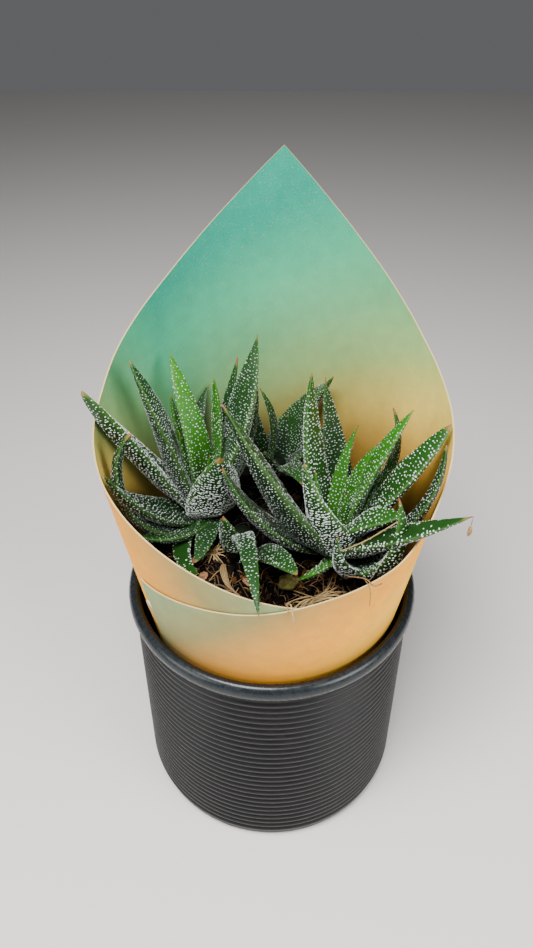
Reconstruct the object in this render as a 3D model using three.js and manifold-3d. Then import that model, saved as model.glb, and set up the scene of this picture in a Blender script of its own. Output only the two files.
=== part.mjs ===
// A potted zebra haworthia: four rosettes in a nursery pot of soil, wrapped in a flaring card sleeve
// that stands in a ribbed ceramic cachepot. Millimetres, +Z up, origin at the middle of the base,
// the low front of the sleeve facing -Y.
import * as THREE from 'three';
import { mergeVertices } from 'three/addons/utils/BufferGeometryUtils.js';
import Module from 'manifold-3d';

const wasm = await Module();
wasm.setup();

// ---------------------------------------------------------------- driving dimensions

const GAP = 0.3;                   // clearance left between pieces that touch

const POT_HEIGHT = 123;            // cachepot, over its rim
const POT_BASE_RADIUS = 66;        // outside, just above the foot
const POT_NECK_RADIUS = 64;        // outside, below the rim
const POT_RIM_RADIUS = 66.2;
const POT_MOUTH_RADIUS = 61;
const POT_WALL = 5;
const POT_FLOOR = 7;
const POT_SIDES = 32;
const FOOT_ROUND = 4.5;            // rounding between the flat base and the side
const RIB_COUNT = 28;
const RIB_PITCH = 3.78;
const RIB_TOP = 109.9;             // height of the highest rib's crest
const RIB_DEPTH = 0.9;
const RIM_BOTTOM = 115;            // where the smooth rim bead starts

const CARD = 0.6;                  // card thickness
const SLEEVE_BOTTOM = POT_FLOOR + GAP;
const SLEEVE_REF_Z = 120;          // height where the sleeve passes the mouth
const SLEEVE_REF_RADIUS = 59.3;    // outside of the outer layer there
const SLEEVE_FLARE = 0.14;         // growth of radius for each millimetre of height
const LAYER_STEP = 1.0;            // the inner end lies this much inside the outer end
const WRAP_END = 232;              // degrees each way from the back, so the ends overlap in front
const WRAP_STEPS = 38;             // sections each way from the tip
const TIP_ANGLE = 2.4;             // the card's tip stands this much right of the back
const TIP_HEIGHT = 288;
// Top edge of the card: [degrees from the back, height], one list for each way round from the tip.
const EDGE_RIGHT = [[TIP_ANGLE, TIP_HEIGHT], [15.6, 269.8], [30, 252], [46, 235], [59, 223], [74, 213],
  [88, 206], [104, 197], [118, 184], [134, 176], [150, 175.5], [165, 173.5], [184, 168],
  [205, 164.5], [WRAP_END, 158]];
const EDGE_LEFT = [[-TIP_ANGLE, TIP_HEIGHT], [12, 269.4], [27, 252], [39, 239.8], [52, 229.4],
  [66, 219.5], [79, 210], [96, 204], [110, 199], [125, 196], [140, 191], [155, 184.5], [171, 177],
  [185, 171.5], [WRAP_END, 158]];
const TAB_REACH = 6;               // lock tab: length past the flap's end, in degrees
const TAB_BOTTOM = 134;
const TAB_TOP = 150;

const NURSERY_LIP_RADIUS = 59.6;
const NURSERY_LIP_BOTTOM = 132;
const NURSERY_TOP = 140;
const NURSERY_BOTTOM = 35;
const NURSERY_BASE_RADIUS = 43;
const NURSERY_NECK_RADIUS = 57;
const NURSERY_WALL = 1.2;
const NURSERY_SIDES = 32;
const DRAIN_HOLES = 5;
const DRAIN_RADIUS = 3.5;
const DRAIN_CIRCLE = 28;

const SOIL_EDGE_Z = 137;           // soil surface at the nursery pot's wall
const SOIL_CROWN = 4.5;            // how much higher it stands in the middle
const SOIL_BUMP = 0.8;
const SOIL_SIDES = 32;
const SOIL_RINGS = 7;

const STEM_RADIUS = 6;
const STEM_DEPTH = 14;             // how far a stem reaches into the soil
const CORE_RADIUS = 8;
const LEAF_SIDES = 8;
const LEAF_RINGS = 10;             // at most, and fewer on short leaves
const RING_STEP = 7.5;
const TUBERCLE = 0.55;             // height of the raised tubercles
const LEAF_KEEL = 0.7;             // depth of the keel against the half width
const KEEL_ROOT = 0.4;             // share of the keel's depth at the root
const KEEL_RISE = 0.3;             // share of the length over which the keel reaches its depth
const LEAF_FLAT = 0.1;             // swell of the upper face against the half width
const ROOT_REACH = 3;              // a root lies this far out from the stem's middle, plus its drop
const GOLDEN_ANGLE = 137.5;

// Leaf rows: [heading at root, heading at tip, lift at root, lift at tip, length, width, roll, point,
// drop]. Angles in degrees, heading from +X towards +Y, lift above the horizontal, roll about the midrib.
// Point is the taper's exponent (larger is more drawn out), drop how far below the crown the root lies.
const ROSETTES = {
  rosette_left: {
    crown: [-31, 21, 149],
    inner: 3,
    leaves: [
      [201, 240, 63, 58, 91, 20.5, -10, 0.65, 3], [201, 171, 85, 64, 80, 23, 3, 1.01, 3],
      [151, 110, 107, 30, 73, 13.5, 0, 0.91, 0], [121, 179, 65, 81, 52, 12.5, 2, 0.96, 1],
      [121, 55, 52, 41, 54, 11, -4, 0.96, 0], [20, 56, 80, 93, 63, 10.5, -7, 0.91, 0],
      [52, 29, 75, 74, 69, 11, -3, 0.94, 0], [-34, 64, 76, 68, 86, 26.5, 4, 1.3, 0],
      [18, 0, 59, 88, 70, 16.5, -4, 0.95, 1], [-66, -66, 74, 65, 46, 26.5, 1, 0.86, 4],
      [-131, -108, 31, 64, 77, 17.5, -22, 1.05, 4], [249, 153, 1, 128, 89, 12.5, 1, 0.6, 4],
      [-95, -164, 13, 25, 44, 11.5, 15, 0.65, 4], [-117, -48, 0, 25, 56, 9.5, 13, 1.01, 4],
      [-79, -109, 24, -15, 36, 11, 0, 0.77, 4],
    ],
  },
  rosette_right: {
    crown: [29, -3, 149],
    inner: 3,
    leaves: [
      [221, 191, 61, 63, 98, 28, -4, 1.3, 4], [133, 139, 66, 90, 76, 16, 11, 0.95, 1],
      [79, 151, 49, 82, 70, 13, -8, 0.96, 1], [100, 38, 75, 57, 49, 8, -7, 1.13, 1],
      [-17, 31, 91, 46, 68, 14, -4, 0.99, 0], [30, 13, 97, 55, 48, 11, -2, 0.97, 0],
      [34, 4, 37, 110, 67, 10.5, -13, 0.89, 1], [-29, 31, 73, 43, 72, 17.5, -1, 0.76, 2],
      [23, -4, 58, 59, 46, 10, -4, 0.85, 0], [-48, -3, 34, 92, 80, 11, 7, 0.84, 3],
      [-79, -12, 55, 32, 79, 17.5, 5, 1.1, 4], [-90, -13, 88, 16, 52, 21, 6, 0.8, 4],
      [-66, -44, 10, 112, 68, 16.5, 12, 1.09, 4], [-97, -184, 61, 74, 65, 22, 11, 0.89, 4],
      [-102, -138, 27, 16, 39, 7, 19, 0.94, 4], [-72, -163, 6, 93, 48, 13, 3, 1.18, 4],
      [206, 183, 31, 69, 69, 16.5, 3, 0.92, 4],
    ],
  },
  rosette_back: {
    crown: [0, 44, 149],
    inner: 0,
    leaves: [
      [63, -49, 68, 52, 59, 20.5, 16, 1.09, 2], [183, 164, 115, 56, 47, 8.5, -10, 1.04, 0],
      [-55, -84, 57, -4, 40, 14, 0, 1.1, 0], [141, 141, 61, 84, 44, 12, 0, 1.1, 0],
      [62, 69, 53, 65, 26, 12, 0, 1.1, 0], [-168, -160, 45, 55, 28, 11, 0, 1.1, 0],
      [-20, -12, 48, 60, 44, 14, 0, 1.1, 0], [-100, -96, 45, 60, 36, 14, 0, 1.1, 0],
    ],
  },
  rosette_front: {
    crown: [-14, -8, 148.5],
    inner: 0,
    leaves: [
      [-112, -123, 78, 70, 28, 12, 0, 0.95, 2], [-82, -80, 75, -27, 78, 9, 7, 0.95, 1],
      [-56, -59, 62, 1, 46, 12.5, 8, 0.65, 4],
    ],
  },
};

// Loose bits on the soil. A run of [x, y] points lies along the soil surface.
const BARK_RUN = [[-20.5, -15], [-20.5, -20], [-18, -27], [-12.5, -33]];
const BARK_HALF_WIDTH = 1.8;
const BARK_HALF_THICKNESS = 0.5;
const LUMP_PLACE = [7, -28];
const LUMP_RADII = [4.6, 4, 3.2];
const CHIPS = {                    // [x, y, turn, length, width, thickness]
  chip_left: [-35, -12, 20, 7, 4, 1.6],
  chip_middle: [-29, -22, 75, 6, 4.5, 1.5],
  chip_front: [-9, -25, -35, 8, 4, 1.8],
};
const CHIP_LIFT = 0.5;             // flat chips stay clear of the lumps under them
const TUFTS = {                    // fibres thrown out from a small knot
  root_tuft: { knot: [19, -33], heading: 28, spread: 26, strands: 8, reach: 10, seed: 5 },
  coir_clump: { knot: [-26, -8], heading: 70, spread: 80, strands: 6, reach: 6, seed: 9 },
};
const FIBRE_RADIUS = 0.5;
const KNOT_RADIUS = 2;
const REST = 0.7;                  // how far loose bits stay above the soil's smooth surface

const COLOURS = {
  cachepot: { color: 0x26262a, roughness: 0.55, metalness: 0 },
  card: { color: 0xd8bf92, roughness: 0.8, metalness: 0 },
  nursery: { color: 0x3a3a38, roughness: 0.6, metalness: 0 },
  soil: { color: 0x3a2a1c, roughness: 1, metalness: 0 },
  leaf: { color: 0x2f5a28, roughness: 0.5, metalness: 0 },
  bark: { color: 0x7a5636, roughness: 0.9, metalness: 0 },
  clay: { color: 0x8d8a3c, roughness: 0.9, metalness: 0 },
  roots: { color: 0xa98658, roughness: 0.9, metalness: 0 },
};

// ---------------------------------------------------------------- helpers

const radians = THREE.MathUtils.degToRad;
const mix = THREE.MathUtils.lerp;

// A repeatable stream of numbers from 0 to 1.
function seeded(seed) {
  let state = seed;
  return () => {
    state = (state * 1664525 + 1013904223) % 4294967296;
    return state / 4294967296;
  };
}

// A closed surface through rings of points, ended by one point at each end. Rings turn
// anticlockwise when they are seen from the last pole.
function closedBody(rings, firstPole, lastPole) {
  const sides = rings[0].length;
  const positions = [firstPole, ...rings.flat(), lastPole].flatMap((p) => [p.x, p.y, p.z]);
  const last = rings.length * sides + 1;
  const at = (ring, side) => 1 + ring * sides + (side % sides);
  const faces = [];
  for (let side = 0; side < sides; side += 1) {
    faces.push(0, at(0, side + 1), at(0, side));
    faces.push(last, at(rings.length - 1, side), at(rings.length - 1, side + 1));
    for (let ring = 0; ring < rings.length - 1; ring += 1) {
      faces.push(at(ring, side), at(ring, side + 1), at(ring + 1, side + 1));
      faces.push(at(ring, side), at(ring + 1, side + 1), at(ring + 1, side));
    }
  }
  const geometry = new THREE.BufferGeometry();
  geometry.setAttribute('position', new THREE.Float32BufferAttribute(positions, 3));
  geometry.setIndex(faces);
  return geometry;
}

// A turned body whose profile of [radius, height] pairs starts and ends on the axis.
function turnedBody(profile, sides) {
  const points = profile.map(([radius, height]) => new THREE.Vector2(radius, height));
  const geometry = new THREE.LatheGeometry(points, sides);
  geometry.rotateX(Math.PI / 2);
  return geometry;
}

function toSolid(geometry) {
  const bare = geometry.clone();
  bare.deleteAttribute('normal');
  bare.deleteAttribute('uv');
  const merged = mergeVertices(bare, 1e-4);
  return new wasm.Manifold(new wasm.Mesh({
    numProp: 3,
    vertProperties: new Float32Array(merged.attributes.position.array),
    triVerts: new Uint32Array(merged.index.array),
  }));
}

function toGeometry(solid) {
  const mesh = solid.getMesh();
  const geometry = new THREE.BufferGeometry();
  geometry.setAttribute('position', new THREE.Float32BufferAttribute(mesh.vertProperties, 3));
  geometry.setIndex(new THREE.Uint32BufferAttribute(mesh.triVerts, 1));
  return geometry;
}

function fuse(geometries) {
  return geometries.map(toSolid).reduce((whole, piece) => whole.add(piece));
}

// The same solid with the small hollows that are shut in between its leaves filled.
function withoutHollows(solid) {
  return wasm.Manifold.compose(solid.decompose().filter((body) => body.volume() > 0));
}

function addPiece(group, name, geometry, finish) {
  const mesh = new THREE.Mesh(geometry, new THREE.MeshStandardMaterial(COLOURS[finish]));
  mesh.name = name;
  group.add(mesh);
}

// ---------------------------------------------------------------- cachepot

function potSideRadius(height) {
  return mix(POT_BASE_RADIUS, POT_NECK_RADIUS, height / RIM_BOTTOM);
}

function cachepotGeometry() {
  const foot = [0, 30, 60, 90].map((degrees) => [
    potSideRadius(FOOT_ROUND) - RIB_DEPTH - FOOT_ROUND * (1 - Math.sin(radians(degrees))),
    FOOT_ROUND * (1 - Math.cos(radians(degrees))),
  ]);
  const ribs = [];
  for (let rib = RIB_COUNT - 1; rib >= 0; rib -= 1) {
    const crest = RIB_TOP - rib * RIB_PITCH;
    ribs.push([potSideRadius(crest), crest]);
    ribs.push([potSideRadius(crest) - RIB_DEPTH, crest + RIB_PITCH / 2]);
  }
  const rim = [
    [POT_NECK_RADIUS - RIB_DEPTH, RIM_BOTTOM],
    [POT_RIM_RADIUS - 0.4, RIM_BOTTOM + 1.6],
    [POT_RIM_RADIUS, POT_HEIGHT - 3.5],
    [POT_RIM_RADIUS - 0.8, POT_HEIGHT - 1.3],
    [POT_RIM_RADIUS - 2.4, POT_HEIGHT],
    [POT_MOUTH_RADIUS + 1, POT_HEIGHT - 0.4],
    [POT_MOUTH_RADIUS, POT_HEIGHT - 2],
  ];
  const inside = [
    [POT_BASE_RADIUS - POT_WALL, POT_FLOOR + FOOT_ROUND],
    [POT_BASE_RADIUS - POT_WALL - FOOT_ROUND, POT_FLOOR],
    [0, POT_FLOOR],
  ];
  return turnedBody([[0, 0], ...foot, ...ribs, ...rim, ...inside], POT_SIDES);
}

// ---------------------------------------------------------------- card sleeve

function sleeveRadius(height) {
  return SLEEVE_REF_RADIUS + SLEEVE_FLARE * (height - SLEEVE_REF_Z);
}

// Height of the card's top edge at an angle from the back, right positive.
function edgeHeight(angle) {
  const outline = angle < TIP_ANGLE ? EDGE_LEFT : EDGE_RIGHT;
  const turn = angle < TIP_ANGLE ? -angle : angle;
  const next = Math.max(1, outline.findIndex(([degrees]) => degrees >= turn));
  const [lowDegrees, lowHeight] = outline[next - 1];
  const [highDegrees, highHeight] = outline[next];
  return mix(lowHeight, highHeight, (turn - lowDegrees) / (highDegrees - lowDegrees));
}

// The wrap spirals outwards a little from its inner (left) end to its outer (right) end.
function layerInset(angle) {
  const overlap = 360 - WRAP_END;
  return LAYER_STEP * (1 - THREE.MathUtils.smoothstep(angle, -overlap, overlap));
}

function cardPoint(angle, height, depth) {
  const radius = sleeveRadius(height) - layerInset(angle) - depth;
  return new THREE.Vector3(radius * Math.sin(radians(angle)), radius * Math.cos(radians(angle)), height);
}

// Angles in even steps, both ends included.
function evenAngles(start, end, steps) {
  return Array.from({ length: steps + 1 }, (_, step) => mix(start, end, step / steps));
}

function cardStrip(angles, bottomAt, topAt) {
  const sections = angles.map((angle) => [
    cardPoint(angle, bottomAt(angle), 0),
    cardPoint(angle, topAt(angle), 0),
    cardPoint(angle, topAt(angle), CARD),
    cardPoint(angle, bottomAt(angle), CARD),
  ]);
  const middle = (section) => section[0].clone().lerp(section[2], 0.5);
  return closedBody(sections, middle(sections[0]), middle(sections[sections.length - 1]));
}

function sleeveSolid() {
  const left = evenAngles(-WRAP_END, TIP_ANGLE, WRAP_STEPS);
  const right = evenAngles(TIP_ANGLE, WRAP_END, WRAP_STEPS).slice(1);
  const wrap = cardStrip([...left, ...right], () => SLEEVE_BOTTOM, edgeHeight);
  const tab = cardStrip(evenAngles(WRAP_END - 1, WRAP_END + TAB_REACH, 3),
    (angle) => TAB_BOTTOM + Math.max(0, angle - WRAP_END) * 0.7,
    (angle) => TAB_TOP - Math.max(0, angle - WRAP_END) * 0.7);
  return fuse([wrap, tab]);
}

// ---------------------------------------------------------------- nursery pot and soil

function nurseryRadius(height) {
  const share = (height - NURSERY_BOTTOM) / (NURSERY_LIP_BOTTOM - NURSERY_BOTTOM);
  return mix(NURSERY_BASE_RADIUS, NURSERY_NECK_RADIUS, share);
}

function nurserySolid() {
  const lipFoot = NURSERY_LIP_RADIUS - SLEEVE_FLARE * (NURSERY_TOP - NURSERY_LIP_BOTTOM);
  const floorTop = NURSERY_BOTTOM + NURSERY_WALL;
  const shell = turnedBody([
    [0, NURSERY_BOTTOM],
    [NURSERY_BASE_RADIUS, NURSERY_BOTTOM],
    [NURSERY_NECK_RADIUS, NURSERY_LIP_BOTTOM],
    [lipFoot, NURSERY_LIP_BOTTOM],
    [NURSERY_LIP_RADIUS, NURSERY_TOP],
    [NURSERY_LIP_RADIUS - NURSERY_WALL, NURSERY_TOP],
    [NURSERY_NECK_RADIUS - NURSERY_WALL, NURSERY_LIP_BOTTOM],
    [NURSERY_BASE_RADIUS - NURSERY_WALL, floorTop],
    [0, floorTop],
  ], NURSERY_SIDES);
  let pot = toSolid(shell);
  for (let hole = 0; hole < DRAIN_HOLES; hole += 1) {
    const turn = (2 * Math.PI * hole) / DRAIN_HOLES;
    const drill = new THREE.CylinderGeometry(DRAIN_RADIUS, DRAIN_RADIUS, 4 * NURSERY_WALL, 8);
    drill.rotateX(Math.PI / 2);
    const x = DRAIN_CIRCLE * Math.cos(turn);
    const y = DRAIN_CIRCLE * Math.sin(turn);
    drill.translate(x, y, NURSERY_BOTTOM + NURSERY_WALL / 2);
    pot = pot.subtract(toSolid(drill));
  }
  return pot;
}

function soilEdgeRadius() {
  return nurseryRadius(NURSERY_LIP_BOTTOM) - NURSERY_WALL - 2 * GAP;
}

// Domed, lumpy soil surface.
function soilHeight(x, y) {
  const spread = Math.min(1, Math.hypot(x, y) / soilEdgeRadius());
  const lumps = Math.sin(x * 0.31 + 1.3) * Math.cos(y * 0.27) + Math.sin(x * 0.13 - y * 0.22);
  return SOIL_EDGE_Z + SOIL_CROWN * (1 - spread * spread) + SOIL_BUMP * lumps * (1 - spread ** 6);
}

function soilSolid() {
  const edge = soilEdgeRadius();
  const floor = NURSERY_BOTTOM + NURSERY_WALL + GAP;
  const baseRadius = nurseryRadius(floor) - NURSERY_WALL - 2 * GAP;
  const circle = (radius, heightAt) => {
    const ring = [];
    for (let side = 0; side < SOIL_SIDES; side += 1) {
      const turn = (2 * Math.PI * side) / SOIL_SIDES;
      const x = radius * Math.cos(turn);
      const y = radius * Math.sin(turn);
      ring.push(new THREE.Vector3(x, y, heightAt(x, y)));
    }
    return ring;
  };
  const rings = [circle(baseRadius, () => floor), circle(edge, () => NURSERY_LIP_BOTTOM)];
  for (let ring = SOIL_RINGS; ring > 0; ring -= 1) {
    rings.push(circle((edge * ring) / SOIL_RINGS, soilHeight));
  }
  const underside = new THREE.Vector3(0, 0, floor);
  const summit = new THREE.Vector3(0, 0, soilHeight(0, 0));
  let soil = toSolid(closedBody(rings, underside, summit));
  for (const { crown } of Object.values(ROSETTES)) {
    const radius = STEM_RADIUS + GAP;
    const hole = new THREE.CylinderGeometry(radius, radius, 2 * (STEM_DEPTH + GAP), 12);
    hole.rotateX(Math.PI / 2);
    hole.translate(crown[0], crown[1], soilHeight(crown[0], crown[1]));
    soil = soil.subtract(toSolid(hole));
  }
  return soil;
}

// ---------------------------------------------------------------- leaves and rosettes

// Half width along a leaf: full near the root, then tapering to a tip that the point draws out.
function leafTaper(along, point) {
  return (1 - along ** 2.6) ** point * (0.86 + 0.14 * Math.sin(Math.min(1, along / 0.3) * Math.PI / 2));
}

function headingVector(turn, rise) {
  const level = Math.cos(rise);
  return new THREE.Vector3(Math.cos(turn) * level, Math.sin(turn) * level, Math.sin(rise));
}

function leafGeometry(crown, row) {
  const [rootHeading, tipHeading, rootLift, tipLift, length, width, roll, point, drop] = row;
  const ringCount = THREE.MathUtils.clamp(Math.round(length / RING_STEP), 6, LEAF_RINGS);
  const step = length / ringCount;
  const heading = (along) => radians(mix(rootHeading, tipHeading, along));
  const lift = (along) => radians(mix(rootLift, tipLift, along));
  const reach = ROOT_REACH + drop;
  const spine = new THREE.Vector3(
    crown[0] + reach * Math.cos(heading(0)), crown[1] + reach * Math.sin(heading(0)), crown[2] - drop,
  );
  const root = spine.clone();
  const rings = [];
  for (let ring = 0; ring < ringCount; ring += 1) {
    const along = ring / ringCount;
    const turn = heading(along);
    const ahead = headingVector(turn, lift(along));
    const across = new THREE.Vector3(-Math.sin(turn), Math.cos(turn), 0).applyAxisAngle(ahead, radians(roll));
    const above = ahead.clone().cross(across);
    const half = (width / 2) * leafTaper(along, point);
    const keel = LEAF_KEEL * mix(KEEL_ROOT, 1, THREE.MathUtils.smoothstep(along, 0, KEEL_RISE));
    const section = [];
    for (let side = 0; side < LEAF_SIDES; side += 1) {
      const angle = (2 * Math.PI * side) / LEAF_SIDES;
      const raised = ring > 1 && (ring + side) % 2 === 0 ? TUBERCLE * (half / width + 0.5) : 0;
      const depth = Math.sin(angle) > 0 ? LEAF_FLAT : keel;
      section.push(spine.clone()
        .addScaledVector(across, Math.cos(angle) * (half + raised))
        .addScaledVector(above, Math.sin(angle) * (half * depth + 0.3 + raised)));
    }
    rings.push(section);
    const middle = along + 0.5 / ringCount;
    spine.addScaledVector(headingVector(heading(middle), lift(middle)), step);
  }
  return closedBody(rings, root, spine.clone());
}

// The small new leaves in the middle of a rosette, each a golden angle on from the last.
function innerLeaves(count, random) {
  return Array.from({ length: count }, (_, index) => {
    const heading = index * GOLDEN_ANGLE + 40 * random();
    return [heading, heading, 66 + 6 * index, 76 + 4 * index, 40 - 5 * index, 9 - index, 0, 1.1, 0];
  });
}

function rosetteSolid({ crown, inner, leaves }, seed) {
  const [x, y, z] = crown;
  const stemFoot = soilHeight(x, y) - STEM_DEPTH;
  const core = turnedBody([
    [0, stemFoot], [STEM_RADIUS, stemFoot], [STEM_RADIUS, z - CORE_RADIUS * 0.6],
    [CORE_RADIUS, z - 1], [CORE_RADIUS * 0.8, z + 4], [0, z + 7],
  ], 10);
  core.translate(x, y, 0);
  const all = [...leaves, ...innerLeaves(inner, seeded(seed))];
  return withoutHollows(fuse([core, ...all.map((leaf) => leafGeometry(crown, leaf))]));
}

// ---------------------------------------------------------------- loose bits on the soil

// A strip or fibre with an elliptical section, carried along a smooth run of points.
function strandGeometry(points, halfWidth, halfThickness, steps, sides) {
  const run = new THREE.CatmullRomCurve3(points);
  const rings = [];
  for (let step = 0; step <= steps; step += 1) {
    const centre = run.getPoint(step / steps);
    const ahead = run.getTangent(step / steps);
    const across = new THREE.Vector3(-ahead.y, ahead.x, 0).normalize();
    const above = ahead.clone().cross(across);
    const end = step === 0 || step === steps ? 0.5 : 1;
    rings.push(Array.from({ length: sides }, (_, side) => {
      const angle = (2 * Math.PI * (side + 0.5)) / sides;
      return centre.clone()
        .addScaledVector(across, end * halfWidth * Math.cos(angle))
        .addScaledVector(above, end * halfThickness * Math.sin(angle));
    }));
  }
  return closedBody(rings, run.getPoint(0), run.getPoint(1));
}

function onSoil([x, y], lift) {
  return new THREE.Vector3(x, y, soilHeight(x, y) + REST + lift);
}

function barkGeometry() {
  const points = BARK_RUN.map((place) => onSoil(place, BARK_HALF_THICKNESS));
  return strandGeometry(points, BARK_HALF_WIDTH, BARK_HALF_THICKNESS, 8, 6);
}

function lumpGeometry() {
  const lump = new THREE.SphereGeometry(1, 10, 7);
  lump.scale(...LUMP_RADII);
  const place = onSoil(LUMP_PLACE, LUMP_RADII[2]);
  lump.translate(place.x, place.y, place.z);
  return toGeometry(toSolid(lump));
}

function chipGeometry([x, y, turn, length, width, thickness]) {
  const chip = new THREE.CylinderGeometry(0.42, 0.5, thickness, 6);
  chip.rotateX(Math.PI / 2);
  chip.scale(length, width, 1);
  chip.rotateZ(radians(turn));
  const place = onSoil([x, y], thickness / 2 + CHIP_LIFT);
  chip.translate(place.x, place.y, place.z);
  return chip;
}

function tuftSolid({ knot, heading, spread, strands, reach, seed }) {
  const random = seeded(seed);
  const middle = onSoil(knot, KNOT_RADIUS);
  const core = new THREE.SphereGeometry(KNOT_RADIUS, 8, 6);
  core.translate(middle.x, middle.y, middle.z);
  const fibres = Array.from({ length: strands }, (_, index) => {
    const way = index % 2 === 0 ? 0 : 180;
    const turn = radians(heading + way + spread * (2 * random() - 1));
    const length = reach * (0.7 + 0.6 * random());
    const out = (share) => [
      knot[0] + share * length * Math.cos(turn),
      knot[1] + share * length * Math.sin(turn),
    ];
    const rise = 1.5 + 2.5 * random();
    const points = [middle.clone(), onSoil(out(0.5), rise), onSoil(out(1), FIBRE_RADIUS + 0.4 * random())];
    return strandGeometry(points, FIBRE_RADIUS, FIBRE_RADIUS, 4, 4);
  });
  return fuse([core, ...fibres]);
}

// ---------------------------------------------------------------- the whole object

const object = new THREE.Group();
addPiece(object, 'cachepot', cachepotGeometry(), 'cachepot');
addPiece(object, 'card_sleeve', toGeometry(sleeveSolid()), 'card');
addPiece(object, 'nursery_pot', toGeometry(nurserySolid()), 'nursery');
addPiece(object, 'soil', toGeometry(soilSolid()), 'soil');
Object.entries(ROSETTES).forEach(([name, rosette], index) => {
  addPiece(object, name, toGeometry(rosetteSolid(rosette, 11 + index)), 'leaf');
});
addPiece(object, 'bark_strip', barkGeometry(), 'bark');
addPiece(object, 'clay_lump', lumpGeometry(), 'clay');
Object.entries(CHIPS).forEach(([name, chip]) => addPiece(object, name, chipGeometry(chip), 'bark'));
Object.entries(TUFTS).forEach(([name, tuft]) => {
  addPiece(object, name, toGeometry(tuftSolid(tuft)), 'roots');
});

export default object;
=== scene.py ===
"""A potted haworthia: three rosettes and an offset in a nursery pot, held by a printed card sleeve in a
ribbed cachepot. Sizes are millimetres in the frame's axes (+Z up, camera side -Y) unless a comment says
otherwise, and become metres when a mesh is made."""

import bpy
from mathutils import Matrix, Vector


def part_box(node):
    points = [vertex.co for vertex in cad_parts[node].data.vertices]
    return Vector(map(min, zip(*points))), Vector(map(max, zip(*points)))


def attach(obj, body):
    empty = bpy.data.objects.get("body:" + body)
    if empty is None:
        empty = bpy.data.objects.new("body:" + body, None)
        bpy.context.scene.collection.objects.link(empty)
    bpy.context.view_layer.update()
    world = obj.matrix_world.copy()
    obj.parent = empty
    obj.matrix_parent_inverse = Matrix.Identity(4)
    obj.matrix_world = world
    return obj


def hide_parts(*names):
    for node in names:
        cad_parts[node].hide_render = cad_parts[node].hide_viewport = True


bl_info = {
    "name": "Potted haworthia",
    "version": (1, 0, 0),
    "blender": (4, 5, 0),
    "location": "3D View > Sidebar > Haworthia",
    "description": "Builds a potted haworthia in a card sleeve and a ribbed cachepot over a packed frame",
    "category": "Add Mesh",
}

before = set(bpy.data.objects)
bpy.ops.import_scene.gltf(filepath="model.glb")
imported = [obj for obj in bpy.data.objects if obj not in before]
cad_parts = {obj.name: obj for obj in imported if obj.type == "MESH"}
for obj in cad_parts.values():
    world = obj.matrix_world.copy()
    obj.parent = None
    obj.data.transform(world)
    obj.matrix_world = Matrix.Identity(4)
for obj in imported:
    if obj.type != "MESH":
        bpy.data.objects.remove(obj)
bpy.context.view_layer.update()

import bpy
import numpy as np
from bpy.props import FloatProperty, FloatVectorProperty, IntProperty, PointerProperty
from mathutils import Matrix, Vector

MM = 0.001


def frame_heights(node):
    """Lowest and highest point of a CAD node, in millimetres."""
    return [corner[2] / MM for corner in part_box(node)]


# Cachepot
POT_HEIGHT = frame_heights("cachepot")[1]
POT_BASE_RADIUS = 66.0
POT_NECK_RADIUS = 64.0
POT_FLOOR = 7.0
POT_MOUTH_RADIUS = 61.0
POT_SIDES = 144
FOOT_ROUND = 4.5
FOOT_POINTS = 9
RIB_PITCH = 3.78
RIB_TOP = 109.9  # height of the highest crest
RIB_POINTS = 9  # profile points for each rib
RIB_SHARPNESS = 1.5  # more than 1 keeps the crests broad and the grooves narrow
RIM_HEIGHT = 8.0  # smooth bead above the ribs
RIM_STEPS = 48
# Radius, and height above the rim's foot, from the outside over the top to the inside
RIM_PROFILE = [(65.7, 1.8), (66.2, 4.4), (65.4, 6.8), (63.8, RIM_HEIGHT), (62.0, 7.6), (61.1, 6.0),
               (POT_MOUTH_RADIUS, 3.5)]
# Radius and height from below the rim to the floor
WELL_PROFILE = [(POT_MOUTH_RADIUS, 110), (POT_MOUTH_RADIUS, 90), (POT_MOUTH_RADIUS, 60),
                (POT_MOUTH_RADIUS, 30), (POT_MOUTH_RADIUS, 11.5), (59.7, 8.2), (56.5, POT_FLOOR)]

# Card sleeve
SLEEVE_BOTTOM = frame_heights("card_sleeve")[0]
CARD = 0.6
SLEEVE_REF_Z = 120.0  # the outer layer's outside has SLEEVE_REF_RADIUS at this height
SLEEVE_REF_RADIUS = 59.3
SLEEVE_FLARE = 0.14
LAYER_STEP = 1.0  # the inner end lies this much inside the outer end
WRAP_END = 232.0  # degrees each way from the back
WRAP_SECTIONS, TAB_SECTIONS = 400, 8
CARD_ROWS = 40
EDGE_ROUNDING = 7.0  # degrees over which the cut edge's corners are smoothed
EDGE_SAMPLES = 13  # places averaged over that width
TIP_ANGLE = 2.4  # the card's tip stands this much right of the back
# Height of the card's top edge by degrees from the back, left side negative. Each side's line runs on
# past the tip, (TIP_ANGLE, 288), to its last or first point.
EDGE_LEFT = [(-232, 158), (-185, 171.5), (-171, 177), (-155, 184.5), (-140, 191), (-125, 196), (-110, 199),
             (-96, 204), (-79, 210), (-66, 219.5), (-52, 229.4), (-39, 239.8), (-27, 252), (-12, 269.4),
             (22.4, 313.8)]
EDGE_RIGHT = [(-17.6, 315.6), (15.6, 269.8), (30, 252), (46, 235), (59, 223), (74, 213), (88, 206),
              (104, 197), (118, 184), (134, 176), (150, 175.5), (165, 173.5), (184, 168), (205, 164.5),
              (232, 158)]
TAB_REACH = 4.5  # degrees that the lock tab stands past the flap's end
TAB_LOW, TAB_HIGH = 130.0, 145.0
TAB_TAPER = 1.2  # millimetres for each degree
TAB_BARE = (6.0, 3.0)  # its print fades out between these distances below its top
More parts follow.
